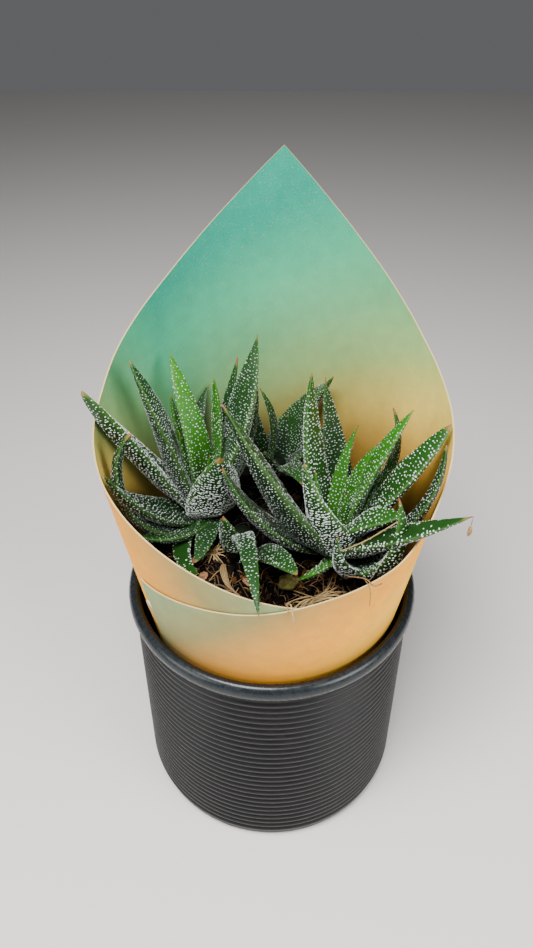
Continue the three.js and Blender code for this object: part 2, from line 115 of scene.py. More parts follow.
# Colour fades by (place along the fade, colour). A place starts at a height and an angle, and moves on by
# its rates for each millimetre down and each degree.
INNER_FADE = [(0.1, "#107e68"), (0.3, "#349870"), (0.5, "#5c9a68"), (0.7, "#90ac68"), (0.9, "#dcbc58"),
              (1.1, "#e0a840"), (1.5, "#c08c34")]
OUTER_FADE = [(0, "#889c70"), (0.35, "#948a58"), (0.6, "#d8983e"), (0.9, "#faa828"), (1.2, "#fab834")]
INNER_START, INNER_TOP = 0.1, 250
INNER_DOWN, INNER_ACROSS, INNER_ZERO = 0.0075, 0.0045, -20
INNER_LEFT, LEFT_ACROSS = -45, 0.013  # left of this angle the inside's fade also moves on leftwards
BACK_DOWN = 0.006  # down the outside, behind
RIGHT_TOP, RIGHT_DOWN, RIGHT_ACROSS = 150, 0.011, 0.0112
LEFT_TOP, LEFT_DOWN, OUTER_LEFT_ACROSS, LEFT_ZERO = 175, 0.004, 0.0135, -184
FRONT_FROM, FRONT_TO = 50, 115  # degrees from the back over which the front's fade takes over
# Painted shade: between these heights each side grows from a share of its colour to all of it, so the inside
# darkens towards the bottom among the leaves and the outside towards the bottom by the pot's rim.
INNER_DARK, INNER_LIT = (148, 194), 0.3
OUTER_DARK, OUTER_LIT = (108, 150), 0.5
MIDDLE_DARK, MIDDLE_HEIGHTS = 0.27, (232, 190)  # painted shadow of the leaves: how much darker the inside's middle gets, going down
MIDDLE_ANGLE, MIDDLE_REACH = 12, (18, 62)

# Soil
SOIL_BOTTOM = frame_heights("soil")[0]
SOIL_EDGE_RADIUS = 55.2
SOIL_BASE_RADIUS = 41.6
SOIL_EDGE_Z = 137.0
SOIL_WALL_TOP = 132.0
SOIL_CROWN = 4.5  # how much higher the middle stands
SOIL_BUMP = 0.8
SOIL_RINGS = 56
SOIL_SIDES = 150
SOIL_GRAINS = [(0.8, 4.0, 3), (0.45, 1.3, 7)]  # relief, size and random seed
SOIL_SHADES = (0.25, 1.6)
LEAF_SHADE, LEAF_SHADE_EDGE = 0.25, (-6, -22)  # painted shade: share of the soil's colour left under the leaves, and where that shade ends in y
CRUMB_LEAST, CRUMB_SPREAD, CRUMB_MOST = 0.35, 0.4, 2.4
CRUMB_SHAPES = ((41, 6, 0.25), (43, 5, 0.4))  # random seed, sides and roughness
UNEVEN = (0.6, 1.3)  # how much single crumbs differ in shape and shade
FIBRE_LENGTHS = (3.0, 12.0)
FIBRE_RADII = (0.12, 0.28)
FIBRE_BEND = 0.9
FIBRE_RISE = np.array([-0.2, 1.0, 0.9, 0.1])

# Leaves
STEM_RADIUS = 6.0
CORE_RADIUS = 8.0
CORE_SIDES = 20
LEAF_KEEL = 0.7  # depth of the keel against the half width
KEEL_ROOT = 0.4  # share of the keel's depth at the root
KEEL_RISE = 0.3  # share of the length over which the keel reaches its depth
LEAF_FLAT = 0.1
ROOT_REACH = 3.0  # a root lies this far out from the stem's middle, plus its drop
LEAF_RIND = 0.3  # least half thickness
LEAF_FULLNESS = 2.6  # more keeps the leaf wide for longer
ROOT_WIDTH = 0.86  # width at the root as a share of the full width
ROOT_SWELL = 0.3  # share of the length over which it grows to the full width
DRY_SHRINK = 0.35  # how much a dried tip has narrowed
HOLLOW_DEPTH, HOLLOW_WIDTH = 0.16, 0.5  # hollow along the upper face, against the half width
KEEL_FULLNESS = 0.65  # 1 is an ellipse below, less is a sharper keel
TIP_FADE = 0.015  # share of the length over which green turns to a dried tip
# LEAF_ROOT_SHADE is painted shade that darkens each leaf towards its root
LEAF_MARGIN, LEAF_ROOT_SHADE, LEAF_YELLOW = "#6f9f4c", "#0c1a08", "#8f8a3a"
WAVE_DEPTH, WAVE_SIZE = 0.18, 5.0
ROW_CROWDING = 1.25  # more than 1 moves the rows of points towards the tip
TUBERCLE_SHAKE = 0.32  # of the spacing, each way
TUBERCLE_HEIGHT = 0.62  # against its radius
BARE_ROOT, BARE_TIP = 0.06, 0.6  # share of the length at the root, and millimetres before a dried tip
LEAF_ROWS = 52
LEAF_AROUND = 28
SPINE_STEPS = 96
GOLDEN_ANGLE = 137.5

# How each kind of leaf looks: greenness from dark (0) to fresh (1) on the upper and lower face, spacing
# and radius of its tubercles, how far they are drawn out across the leaf, how densely the middle of the
# upper face carries them, and how pale they are.
LOOK_VALUES = ("upper", "lower", "spacing", "dot", "bar", "middle", "pale")
LOOKS = {
    "bold": (0.28, 0.22, 1.65, 0.38, 1.4, 0.95, 0.9),
    "fresh": (0.72, 0.62, 1.5, 0.31, 1.2, 0.9, 0.85),
    "dark": (0.08, 0.04, 1.55, 0.27, 1.4, 0.9, 0.7),
    "dense": (0.12, 0.08, 1.4, 0.27, 1.6, 0.95, 0.7),
    "frosted": (0.14, 0.12, 1.3, 0.35, 2.0, 1.0, 0.9),
    "strip": (0.12, 0.02, 1.5, 0.26, 1.4, 0.5, 0.6),
    "smooth": (0.14, 0.04, 1.5, 0.38, 1.3, 0.2, 0.9),
}
INNER_LOOK = "fresh"

# Leaf rows: heading at root and tip (degrees, from +X towards +Y), lift at root and tip (degrees above
# the horizontal), length, width, roll about the midrib in degrees, point (the taper's exponent, larger is
# more drawn out), drop of the root below the crown, look, and the length of its dried tip.
ROSETTES = {
    "left": dict(crown=(-31, 21, 149), inner=3, seed=11, leaves=[
        (201, 240, 63, 58, 91, 20.5, -10, 0.65, 3, "bold", 0.6),
        (201, 171, 85, 64, 80, 23, 3, 1.01, 3, "dense", 1),
        (151, 110, 107, 30, 73, 13.5, 0, 0.91, 0, "fresh", 0.8),
        (121, 179, 65, 81, 52, 12.5, 2, 0.96, 1, "fresh", 0.8),
        (121, 55, 52, 41, 54, 11, -4, 0.96, 0, "dark", 1),
        (20, 56, 80, 93, 63, 10.5, -7, 0.91, 0, "fresh", 0.8),
        (52, 29, 75, 74, 69, 11, -3, 0.94, 0, "dark", 3),
        (-34, 64, 76, 68, 86, 26.5, 4, 1.3, 0, "dense", 1.5),
        (18, 0, 59, 88, 70, 16.5, -4, 0.95, 1, "dark", 3.5),
        (-66, -66, 74, 65, 46, 26.5, 1, 0.86, 4, "frosted", 1.5),
        (-131, -108, 31, 64, 77, 17.5, -22, 1.05, 4, "dark", 1),
        (249, 153, 1, 128, 89, 12.5, 1, 0.6, 4, "dark", 2),
        (-95, -164, 13, 25, 44, 11.5, 15, 0.65, 4, "dark", 1),
        (-117, -48, 0, 25, 56, 9.5, 13, 1.01, 4, "smooth", 0.8),
        (-79, -109, 24, -15, 36, 11, 0, 0.77, 4, "dark", 1),
    ]),
    "right": dict(crown=(29, -3, 149), inner=3, seed=12, leaves=[
        (221, 191, 61, 63, 98, 28, -4, 1.3, 4, "strip", 2),
        (133, 139, 66, 90, 76, 16, 11, 0.95, 1, "bold", 1),
        (79, 151, 49, 82, 70, 13, -8, 0.96, 1, "dense", 2),
        (100, 38, 75, 57, 49, 8, -7, 1.13, 1, "fresh", 1),
        (-17, 31, 91, 46, 68, 14, -4, 0.99, 0, "fresh", 0.8),
        (30, 13, 97, 55, 48, 11, -2, 0.97, 0, "fresh", 0.8),
        (34, 4, 37, 110, 67, 10.5, -13, 0.89, 1, "dark", 2),
        (-29, 31, 73, 43, 72, 17.5, -1, 0.76, 2, "bold", 2.2),
        (23, -4, 58, 59, 46, 10, -4, 0.85, 0, "fresh", 0.8),
        (-48, -3, 34, 92, 80, 11, 7, 0.84, 3, "dark", 1),
        (-79, -12, 55, 32, 79, 17.5, 5, 1.1, 4, "smooth", 2.2),
        (-90, -13, 88, 16, 52, 21, 6, 0.8, 4, "bold", 0.5),
        (-66, -44, 10, 112, 68, 16.5, 12, 1.09, 4, "bold", 2),
        (-97, -184, 61, 74, 65, 22, 11, 0.89, 4, "frosted", 0.5),
        (-102, -138, 27, 16, 39, 7, 19, 0.94, 4, "fresh", 1),
        (-72, -163, 6, 93, 48, 13, 3, 1.18, 4, "frosted", 0.8),
        (206, 183, 31, 69, 69, 16.5, 3, 0.92, 4, "dense", 1.5),
    ]),
    "back": dict(crown=(0, 44, 149), inner=0, seed=13, leaves=[
        (63, -49, 68, 52, 59, 20.5, 16, 1.09, 2, "dense", 1),
        (183, 164, 115, 56, 47, 8.5, -10, 1.04, 0, "dark", 1.5),
        (-55, -84, 57, -4, 40, 14, 0, 1.1, 0, "dark", 1.5),
        (141, 141, 61, 84, 44, 12, 0, 1.1, 0, "dark", 1),
        (62, 69, 53, 65, 26, 12, 0, 1.1, 0, "dark", 1),
        (-168, -160, 45, 55, 28, 11, 0, 1.1, 0, "dark", 1),
        (-20, -12, 48, 60, 44, 14, 0, 1.1, 0, "dark", 1),
        (-100, -96, 45, 60, 36, 14, 0, 1.1, 0, "dark", 1),
    ]),
    "front": dict(crown=(-14, -8, 148.5), inner=0, seed=14, leaves=[
        (-112, -123, 78, 70, 28, 12, 0, 0.95, 2, "dense", 1.5),
        (-82, -80, 75, -27, 78, 9, 7, 0.95, 1, "dense", 1),
        (-56, -59, 62, 1, 46, 12.5, 8, 0.65, 4, "dense", 0.8),
    ]),
}

# Loose bits
BARK_RUN = [(-20.5, -15), (-20.5, -20), (-18, -27), (-12.5, -33)]
BARK_HALF_WIDTH = 1.8
BARK_HALF_THICKNESS = 0.5
BARK_STRANDS = (-1.0, -0.35, 0.35, 1.0)  # where they lie across the strip
BARK_DRIFT = np.array([0.35, 0.9, 0.7, 0.25])  # how far they drift apart at each place of the run
BARK_ACROSS = np.array([(1, 0), (0.95, -0.3), (0.85, -0.5), (0.75, -0.66)])  # sideways at each place
BARK_STEPS, BARK_SIDES = 30, 10
LUMP_PLACE = (7, -28)
LUMP_RADII = (4.6, 4.0, 3.2)
LUMP_ROWS, LUMP_SIDES = 16, 24
LUMP_SWELL = 0.16  # unevenness as a share of the radii
CHIPS = {  # x, y, turn in degrees, length, width, thickness
    "chip_left": (-35, -12, 20, 7, 4, 1.6),
    "chip_middle": (-29, -22, 75, 6, 4.5, 1.5),
    "chip_front": (-9, -25, -35, 8, 4, 1.8),
}
CHIP_LIFT = 0.5
STRAND_END = 0.35  # share of a strand's width at its ends
TUFT_RADII = (0.16, 0.38)
TUFTS = {
    "root_tuft": dict(knot=(19, -33), heading=28, spread=34, strands=36, reach=13, loose=2.2, seed=5),
    "coir_clump": dict(knot=(-26, -8), heading=70, spread=90, strands=24, reach=6.5, loose=3.4, seed=9),
}
# Dry straws and threads: the places each runs through, its half thickness and its colour.
STRAWS = [
    ([(27, -31, 166), (36, -30.5, 171), (45.5, -32, 181), (50.5, -30.5, 184)], 0.32, "#b1965a"),
    ([(48, -37.5, 185), (52.4, -36.7, 177), (52.5, -36, 171), (49.7, -37, 165), (46, -38, 158)], 0.2,
     "#94764a"),
    ([(39.5, -30, 149), (39, -38, 158), (41, -40, 167), (43.5, -40.5, 174.5)], 0.16, "#c9c0a8"),
    ([(6.6, -58, 165), (7.2, -64, 171.9), (7.8, -67.3, 171), (8.8, -67.8, 164.5)], 0.3, "#c3a574"),
    ([(5.2, -59, 165), (5.9, -64.6, 172.3), (6.1, -67.4, 171.4)], 0.22, "#a9834f"),
    ([(28, -48, 170), (33.5, -55.5, 176.6), (36.4, -58.4, 176.2), (39.5, -57.6, 176.8)], 0.24, "#8f6b40"),
    ([(33, -52, 174), (34.6, -58.6, 176.3), (35.2, -60.2, 173), (35.4, -60.4, 168)], 0.18, "#9c7a4c"),
]
STRAW_STEPS = 24
SCRAP_LEAF = ("right", 10)  # the dried scrap hangs from this leaf's tip
SCRAP_DROP = 5.0
SCRAP_RADII = (0.9, 0.6, 2.4)
THREAD_RADIUS = 0.14
REST = 0.7  # loose bits lie this much above the soil's mean surface

# Camera
CAMERA_PLACE = (1.6, -225.5, 356.7)
CAMERA_AHEAD = (-0.01407, 0.78675, -0.61711)
CAMERA_FOCAL_PIXELS = 690.0  # focal length measured in pixels of the 533 x 948 picture
PICTURE_HEIGHT = 948

# Stage
FLOOR_REACH = 2.0  # metres each way
SURROUND_COLOUR = (0.93, 0.95, 1.0)
LIGHTS = {  # place, aim, width, and power as a share of the key light's
    "key_light": ((-140, -260, 820), (0, 0, 150), 340, 1.0),
    "right_light": ((520, -420, 420), (0, 0, 130), 400, 0.45),
    "left_light": ((-560, -380, 380), (0, 0, 130), 400, 0.25),
}


# ---- colours

def linear(code):
    """Linear red, green and blue of a screen colour written #rrggbb."""
    screen = np.array([int(code[i:i + 2], 16) for i in (1, 3, 5)]) / 255.0
    return tuple(np.where(screen <= 0.04045, screen / 12.92, ((screen + 0.055) / 1.055) ** 2.4))


def colour_property(name, code, description):
    """A colour setting whose default is a screen colour."""
    return FloatVectorProperty(name=name, description=description, default=linear(code),
                               subtype="COLOR", size=3, min=0.0, max=1.0)


# ---- settings

class CachepotSettings(bpy.types.PropertyGroup):
    """Sizes and colours of the ribbed cachepot."""

    rib_count: IntProperty(name="Ribs", description="Number of horizontal ribs", default=28, min=8, max=28)
    rib_depth: FloatProperty(name="Rib depth", description="How deep the grooves between the ribs are",
                             default=0.9 * MM, min=0.0, max=1.5 * MM, unit="LENGTH", precision=5)
    glaze: colour_property("Glaze", "#0c0c0e", "Matt charcoal glaze of the ribbed wall")
    rim: colour_property("Rim", "#1a1f22", "Glossier glaze of the rim")
    inside: colour_property("Inside", "#1c1815", "Brownish inner wall")


class SleeveSettings(bpy.types.PropertyGroup):
    """Cut edge and flecks of the card sleeve."""

    card_edge: colour_property("Cut edge", "#c4a974", "Unprinted core that shows where the card is cut")
    speckle: FloatProperty(name="Paper speckle", description="Strength of the flecks in the card",
                           default=0.5, min=0.0, max=1.0, subtype="FACTOR")


class SoilSettings(bpy.types.PropertyGroup):
    """Colours of the potting soil and its fibres, and how much lies on it."""

    crumbs: IntProperty(name="Crumbs", description="Number of loose crumbs", default=3200, min=0, max=6000)
    fibres: IntProperty(name="Fibres", description="Number of coir fibres", default=620, min=0, max=2000)
    soil: colour_property("Soil", "#070403", "Damp potting soil")
    fibre: colour_property("Fibre", "#a8824e", "Coir fibre")


class LeafSettings(bpy.types.PropertyGroup):
    """Colours and tubercles of the leaves."""

    dark: colour_property("Dark leaf", "#0d270f", "Old outer leaves")
    fresh: colour_property("Fresh leaf", "#2f7406", "Young inner leaves")
    dry: colour_property("Dried tip", "#8a5a3c", "Dried tips")
    tubercle: colour_property("Tubercle", "#e6efe8", "Raised white dots")
    tubercle_size: FloatProperty(name="Tubercle size", description="Scale of the raised dots",
                                 default=1.0, min=0.3, max=2.0, subtype="FACTOR")


class StageSettings(bpy.types.PropertyGroup):
    """Floor and light."""

    floor: colour_property("Floor", "#d8d5d0", "Plain pale floor")
    key_power: FloatProperty(name="Key light", description="Power of the large overhead light",
                             default=13.0, min=0.0, unit="POWER")
    surround: FloatProperty(name="Surround", description="Brightness of the even light from all round",
                            default=0.13, min=0.0)


# ---- surfaces from arrays

class Surface:
    """Points, the quads and triangles between them, a part number for each face, and named values that
    every point carries."""

    def __init__(self, points, quads, triangles, **values):
        self.points = np.asarray(points, dtype=float)
        self.quads = quads
        self.triangles = triangles
        self.quad_part = np.zeros(len(quads), int)
        self.triangle_part = np.zeros(len(triangles), int)
        self.values = values

    def outward(self):
        """Turns every face round if the enclosed volume, the sum of the cones from the origin to the
        faces, comes out negative."""
        faces = np.vstack([self.quads[:, :3], self.quads[:, [0, 2, 3]], self.triangles])
        a, b, c = (self.points[faces[:, i]] for i in range(3))
        if np.sum(np.cross(b - a, c - a) * a) < 0:
            self.quads = self.quads[:, ::-1]
            self.triangles = self.triangles[:, ::-1]
        return self


def join(surfaces):
    """One surface that holds several, with their point values."""
    firsts = np.cumsum([0] + [len(surface.points) for surface in surfaces[:-1]])
    whole = Surface(np.vstack([surface.points for surface in surfaces]),
                    *(np.vstack([getattr(surface, kind) + first for surface, first in zip(surfaces, firsts)])
                      for kind in ("quads", "triangles")),
                    **{name: np.concatenate([surface.values[name] for surface in surfaces])
                       for name in surfaces[0].values})
    for part in ("quad_part", "triangle_part"):
        setattr(whole, part, np.concatenate([getattr(surface, part) for surface in surfaces]))
    return whole


def unit(vectors):
    """The vectors at length 1."""
    return vectors / np.maximum(np.linalg.norm(vectors, axis=-1, keepdims=True), 1e-9)


def turns(sides):
    """Evenly spaced angles once round."""
    return np.linspace(0, 2 * np.pi, sides, endpoint=False)


def polar(radius, turn, height):
    """Points at a distance and an angle about Z, and at a height."""
    x, y, z = np.broadcast_arrays(radius * np.cos(turn), radius * np.sin(turn), height)
    return np.stack([x, y, z], axis=-1)


def grid_quads(rows, columns):
    """Quads between a grid's neighbouring points, its columns closed into rings."""
    row, column = np.meshgrid(np.arange(rows - 1), np.arange(columns), indexing="ij")
    after = (column + 1) % columns
    corners = [row * columns + column, row * columns + after,
               (row + 1) * columns + after, (row + 1) * columns + column]
    return np.stack(corners, axis=-1).reshape(-1, 4)


def closed_body(rings, first_pole, last_pole, **values):
    """A body that runs through closed rings of points and ends in a pole at each end. Values are given
    for rings x sides, and the poles take the mean of the ring beside them."""
    count, sides = rings.shape[:2]
    points = np.vstack([rings.reshape(-1, 3), first_pole, last_pole])
    around = np.arange(sides)
    after = (around + 1) % sides
    last = (count - 1) * sides
    start_fan = np.stack([np.full(sides, count * sides), after, around], axis=-1)
    end_fan = np.stack([np.full(sides, count * sides + 1), last + around, last + after], axis=-1)
    carried = {}
    for name, value in values.items():
        flat = value.reshape(count * sides, -1)
        ends = np.vstack([value[0].reshape(sides, -1).mean(0), value[-1].reshape(sides, -1).mean(0)])
        carried[name] = np.vstack([flat, ends])
    return Surface(points, grid_quads(count, sides), np.vstack([start_fan, end_fan]), **carried).outward()


def turned_body(profile, sides, **values):
    """A body turned about Z from (radius, height) points that start and end on the axis. A value is given
    for each point between those ends."""
    profile = np.asarray(profile, dtype=float)
    radius, height = profile[1:-1].T[..., None]
    spread = {name: np.repeat(value[:, None], sides, 1) for name, value in values.items()}
    rings = polar(radius, turns(sides), height)
    return closed_body(rings, (0, 0, profile[0, 1]), (0, 0, profile[-1, 1]), **spread)


def small_body(sides, radius, height, low, high):
    """A small closed body: two staggered rings of the given radii and heights between two poles."""
    turn = turns(sides) + np.array([[0], [np.pi / sides]])
    return closed_body(polar(radius, turn, height), (0, 0, low), (0, 0, high))


def smooth_run(points, steps):
    """Catmull-Rom curve through points: steps + 1 places, and the direction at each."""
    points = np.asarray(points, dtype=float)
    padded = np.vstack([2 * points[0] - points[1], points, 2 * points[-1] - points[-2]])
    where = np.linspace(0, len(points) - 1, steps + 1)
    piece = np.minimum(where.astype(int), len(points) - 2)
    t = (where - piece)[:, None]
    a, b, c, d = (padded[piece + i] for i in range(4))
    place = 0.5 * (2 * b + (c - a) * t + (2 * a - 5 * b + 4 * c - d) * t**2 + (3 * b - a - 3 * c + d) * t**3)
    way = 0.5 * ((c - a) + 2 * (2 * a - 5 * b + 4 * c - d) * t + 3 * (3 * b - a - 3 * c + d) * t**2)
    return place, unit(way)


def strand(points, half_width, half_thickness, steps, sides, **values):
    """An elliptical section carried along a smooth run of points, narrowing to its ends. Half width and
    half thickness are numbers or one for each place."""
    place, ahead = smooth_run(points, steps)
    across = unit(np.cross((0.0, 0.0, 1.0), ahead))
    above = np.cross(ahead, across)
    end = np.ones(steps + 1)
    end[[0, -1]] = STRAND_END
    turn = turns(sides) + np.pi / sides
    wide = (half_width * end)[:, None] * np.cos(turn)
    thick = (half_thickness * end)[:, None] * np.sin(turn)
    rings = place[:, None] + across[:, None] * wide[..., None] + above[:, None] * thick[..., None]
    spread = {name: np.broadcast_to(value, (steps + 1, sides, 3)) for name, value in values.items()}
    return closed_body(rings, place[0], place[-1], **spread)


def scattered(template, places, axes, **values):
    """Copies of a small body: each point p of the template goes to place + p times the copy's three axes.
    Every copy's points carry its own value."""
    copies, size = len(places), len(template.points)
    points = places[:, None] + np.einsum("pk,nkj->npj", template.points, axes)
    shift = (np.arange(copies) * size)[:, None, None]
    quads = (template.quads[None] + shift).reshape(-1, 4)
    triangles = (template.triangles[None] + shift).reshape(-1, 3)
    spread = {name: np.repeat(value, size, axis=0) for name, value in values.items()}
    return Surface(points.reshape(-1, 3), quads, triangles, **spread)


def hashed(cells, seed):
    """A value from -1 to 1 for each whole-numbered cell: its coordinates times large primes, folded by
    shifts."""
    mixed = (cells * np.array([73856093, 19349663, 83492791])).astype(np.int64)
    key = (mixed[..., 0] ^ mixed[..., 1] ^ mixed[..., 2] ^ (seed * 2654435761)) & 0xFFFFFFFF
    for _ in range(2):
        key = ((key ^ (key >> 16)) * 0x45D9F3B) & 0xFFFFFFFF
    return (key ^ (key >> 16)) / 0x7FFFFFFF - 1.0


def noise(points, size, seed, layers=1):
    """Smooth noise from about -1 to 1: random values on a cubic lattice of the given cell size, blended
    between its corners by smoothstep, plus half as much at half the size for each further layer."""
    total = np.zeros(points.shape[:-1])
    for layer in range(layers):
        cells = points / (size / 2**layer)
        base = np.floor(cells).astype(int)
        share = cells - base
        share = share * share * (3 - 2 * share)
        for corner in np.ndindex(2, 2, 2):
            weight = np.prod(np.where(np.array(corner) == 1, share, 1 - share), axis=-1)
            total += weight * hashed(base + np.array(corner), seed + layer) / 2**layer
    return total


def smoothstep(low, high, value):
    """0 below low, 1 above high, and an S-shaped cubic between."""
    share = np.clip((value - low) / (high - low), 0, 1)
    return share * share * (3 - 2 * share)


def blend(a, b, share):
    """Colour a at share 0 and b at share 1, point by point. Colours are linear, or written #rrggbb."""
    a, b = (np.asarray(linear(colour) if isinstance(colour, str) else colour) for colour in (a, b))
    share = np.asarray(share)[..., None]
    return a * (1 - share) + b * share


def ramp(stops, where):
    """Colour along a ramp of (position, screen colour) stops."""
    at = [position for position, _ in stops]
    colours = np.array([linear(code) for _, code in stops])
    return np.stack([np.interp(where, at, colours[:, channel]) for channel in range(3)], axis=-1)


def place_surface(name, surface, materials, replaced=(), sharp_degrees=None):
    """Makes the surface a Blender object in metres at the origin, hangs it on the root body, and hides the
    CAD parts it replaces.
    """
    mesh = bpy.data.meshes.new(name)
    corners = np.concatenate([surface.quads.ravel(), surface.triangles.ravel()]).astype(np.int32)
    sizes = np.repeat([4, 3], [len(surface.quads), len(surface.triangles)])
    parts = np.concatenate([surface.quad_part, surface.triangle_part]).astype(np.int32)
    mesh.vertices.add(len(surface.points))
    mesh.vertices.foreach_set("co", (surface.points * MM).astype(np.float32).ravel())
    mesh.loops.add(len(corners))
    mesh.loops.foreach_set("vertex_index", corners)
    mesh.polygons.add(len(sizes))
    mesh.polygons.foreach_set("loop_start", (np.cumsum(sizes) - sizes).astype(np.int32))
    mesh.polygons.foreach_set("material_index", parts)
    mesh.polygons.foreach_set("use_smooth", np.ones(len(sizes), bool))
    mesh.update(calc_edges=True)
    for value_name, value in surface.values.items():
        if value.shape[-1] == 3:
            attribute = mesh.color_attributes.new(value_name, "FLOAT_COLOR", "POINT")
            opaque = np.hstack([value, np.ones((len(value), 1))])
            attribute.data.foreach_set("color", opaque.astype(np.float32).ravel())
        else:
            attribute = mesh.attributes.new(value_name, "FLOAT", "POINT")
            attribute.data.foreach_set("value", value.astype(np.float32).ravel())
    if sharp_degrees is not None:
        mesh.set_sharp_from_angle(angle=np.radians(sharp_degrees))
    for material in materials:
        mesh.materials.append(material)
    piece = bpy.data.objects.new(name, mesh)
    bpy.context.scene.collection.objects.link(piece)
    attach(piece, "root")
    if replaced:
        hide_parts(*replaced)


# ---- materials

class Finish:
    """A material with a principled shader, and short calls for the nodes that feed it."""

    def __init__(self, name, roughness, **sockets):
        self.material = bpy.data.materials.new(name)
        self.material.use_nodes = True
        self.nodes = self.material.node_tree.nodes
        self.links = self.material.node_tree.links
        self.shader = self.nodes["Principled BSDF"]
        for socket, value in {"Roughness": roughness, **sockets}.items():
            self.put(self.shader.inputs[socket.replace("_", " ")], value)

    def put(self, target, value):
        """Links an output to an input, or sets the input's own number or colour."""
        if isinstance(value, bpy.types.NodeSocket):
            self.links.new(value, target)
        else:
            target.default_value = (*value, 1.0) if target.type == "RGBA" else value

    def node(self, kind, **inputs):
        """A node of that kind and its inputs. A name such as i0 means an input by its number."""
        node = self.nodes.new(kind)
        for name, value in inputs.items():
            key = int(name[1:]) if name[1:].isdigit() else name.replace("_", " ")
            self.put(node.inputs[key], value)
        return node

    def feed(self, socket, value):
        """Links a value to the shader's socket."""
        self.put(self.shader.inputs[socket], value)

    def speckle(self, cell, detail=4.0):
        """Noise on Object coordinates with features of about cell millimetres, from 0 to 1."""
        place = self.node("ShaderNodeTexCoord").outputs["Object"]
        return self.node("ShaderNodeTexNoise", Vector=place, Scale=1 / (cell * MM), Detail=detail).outputs[0]

    def carried(self, name, output="Color"):
        """Colour that the mesh carries, or with the output Fac a number."""
        node = self.nodes.new("ShaderNodeAttribute")
        node.attribute_name = name
        return node.outputs[output]

    def scaled(self, value, from_low, from_high, to_low, to_high):
        """A number moved from one range to another and kept inside it."""
        return self.node("ShaderNodeMapRange", Value=value, From_Min=from_low, From_Max=from_high,
                         To_Min=to_low, To_Max=to_high).outputs["Result"]

    def times(self, a, b):
        """Product of two numbers."""
        node = self.node("ShaderNodeMath", i0=a, i1=b)
        node.operation = "MULTIPLY"
        return node.outputs[0]

    def mixed(self, share, a, b, way="MIX"):
        """Colour a mixed with colour b by a share."""
        node = self.nodes.new("ShaderNodeMix")
        node.data_type = "RGBA"
        node.blend_type = way
        for index, value in ((0, share), (6, a), (7, b)):
            self.put(node.inputs[index], value)
        return node.outputs[2]

    def shaded(self, colour, value, share=1.0):
        """A colour multiplied by a number."""
        grey = self.node("ShaderNodeCombineColor", Red=value, Green=value, Blue=value).outputs[0]
        return self.mixed(share, colour, grey, "MULTIPLY")

    def bumped(self, height, depth):
        """Small relief of the given depth in millimetres where height goes from 0 to 1."""
        self.feed("Normal", self.node("ShaderNodeBump", Height=height, Distance=depth * MM).outputs[0])


def charcoal_glaze(settings):
    """Matt charcoal on the ribs, worn a little lighter on their crests, and glossier on the rim."""
    finish = Finish("charcoal_glaze", 0.5, Specular_IOR_Level=0.3)
    wear = finish.speckle(2.5, 6.0)
    fine = finish.speckle(0.5)
    rim = finish.carried("rim", "Fac")
    worn = finish.times(finish.carried("crest", "Fac"), finish.scaled(wear, 0.35, 0.75, 0.25, 1.0))
    wall = finish.mixed(worn, settings.glaze, linear("#17171a"))
    lip = finish.mixed(finish.scaled(wear, 0.4, 0.8, 0.0, 0.5), settings.rim, linear("#2b3236"))
    colour = finish.mixed(finish.carried("inside", "Fac"), finish.mixed(rim, wall, lip), settings.inside)
    finish.feed("Base Color", finish.shaded(colour, finish.scaled(fine, 0.3, 0.7, 0.2, 1.0), 0.3))
    gloss = finish.scaled(rim, 0.0, 1.0, 0.42, 0.27)
    finish.feed("Roughness", finish.times(gloss, finish.scaled(wear, 0.3, 0.7, 0.85, 1.2)))
    finish.bumped(fine, 0.03)
    return finish.material


def printed_card(settings):
    """The printed colours that the card carries, with the flecks and tooth of recycled paper."""
    finish = Finish("printed_card", 0.75, Specular_IOR_Level=0.15)
    cloud = finish.scaled(finish.speckle(6.0, 5.0), 0.3, 0.7, 0.93, 1.05)
    flecks = finish.scaled(finish.speckle(0.7, 3.0), 0.60, 0.72, 0.0, settings.speckle)
    clouded = finish.shaded(finish.carried("print"), cloud)
    finish.feed("Base Color", finish.mixed(flecks, clouded, linear("#8d8a62")))
    finish.bumped(finish.speckle(0.5), 0.04)
    return finish.material


def plain(name, roughness, colour):
    """One colour all over."""
    return Finish(name, roughness, Base_Color=colour).material


def tinted(name, roughness, grain, contrast, relief=0.0, **sockets):
    """The colour that the mesh carries, darkened unevenly by grain of that many millimetres."""
    finish = Finish(name, roughness, **sockets)
    shade = finish.scaled(finish.speckle(grain, 5.0), 0.3, 0.7, 1.0 - contrast, 1.0)
    finish.feed("Base Color", finish.shaded(finish.carried("tint"), shade))
    if relief:
        finish.bumped(finish.speckle(grain), relief)
    return finish.material


def leaf_skin():
    """Slightly waxy leaf with a little light passing through."""
    return tinted("leaf_skin", 0.48, 3.0, 0.25, 0.05, Specular_IOR_Level=0.25, Subsurface_Weight=0.1,
                  Subsurface_Scale=0.002, Subsurface_Radius=(0.6, 1.0, 0.25))


# ---- cachepot

def side_radius(height):
    """Radius of the rib crests, narrowing evenly from the base to the neck."""
    share = height / (POT_HEIGHT - RIM_HEIGHT)
    return POT_BASE_RADIUS + (POT_NECK_RADIUS - POT_BASE_RADIUS) * share


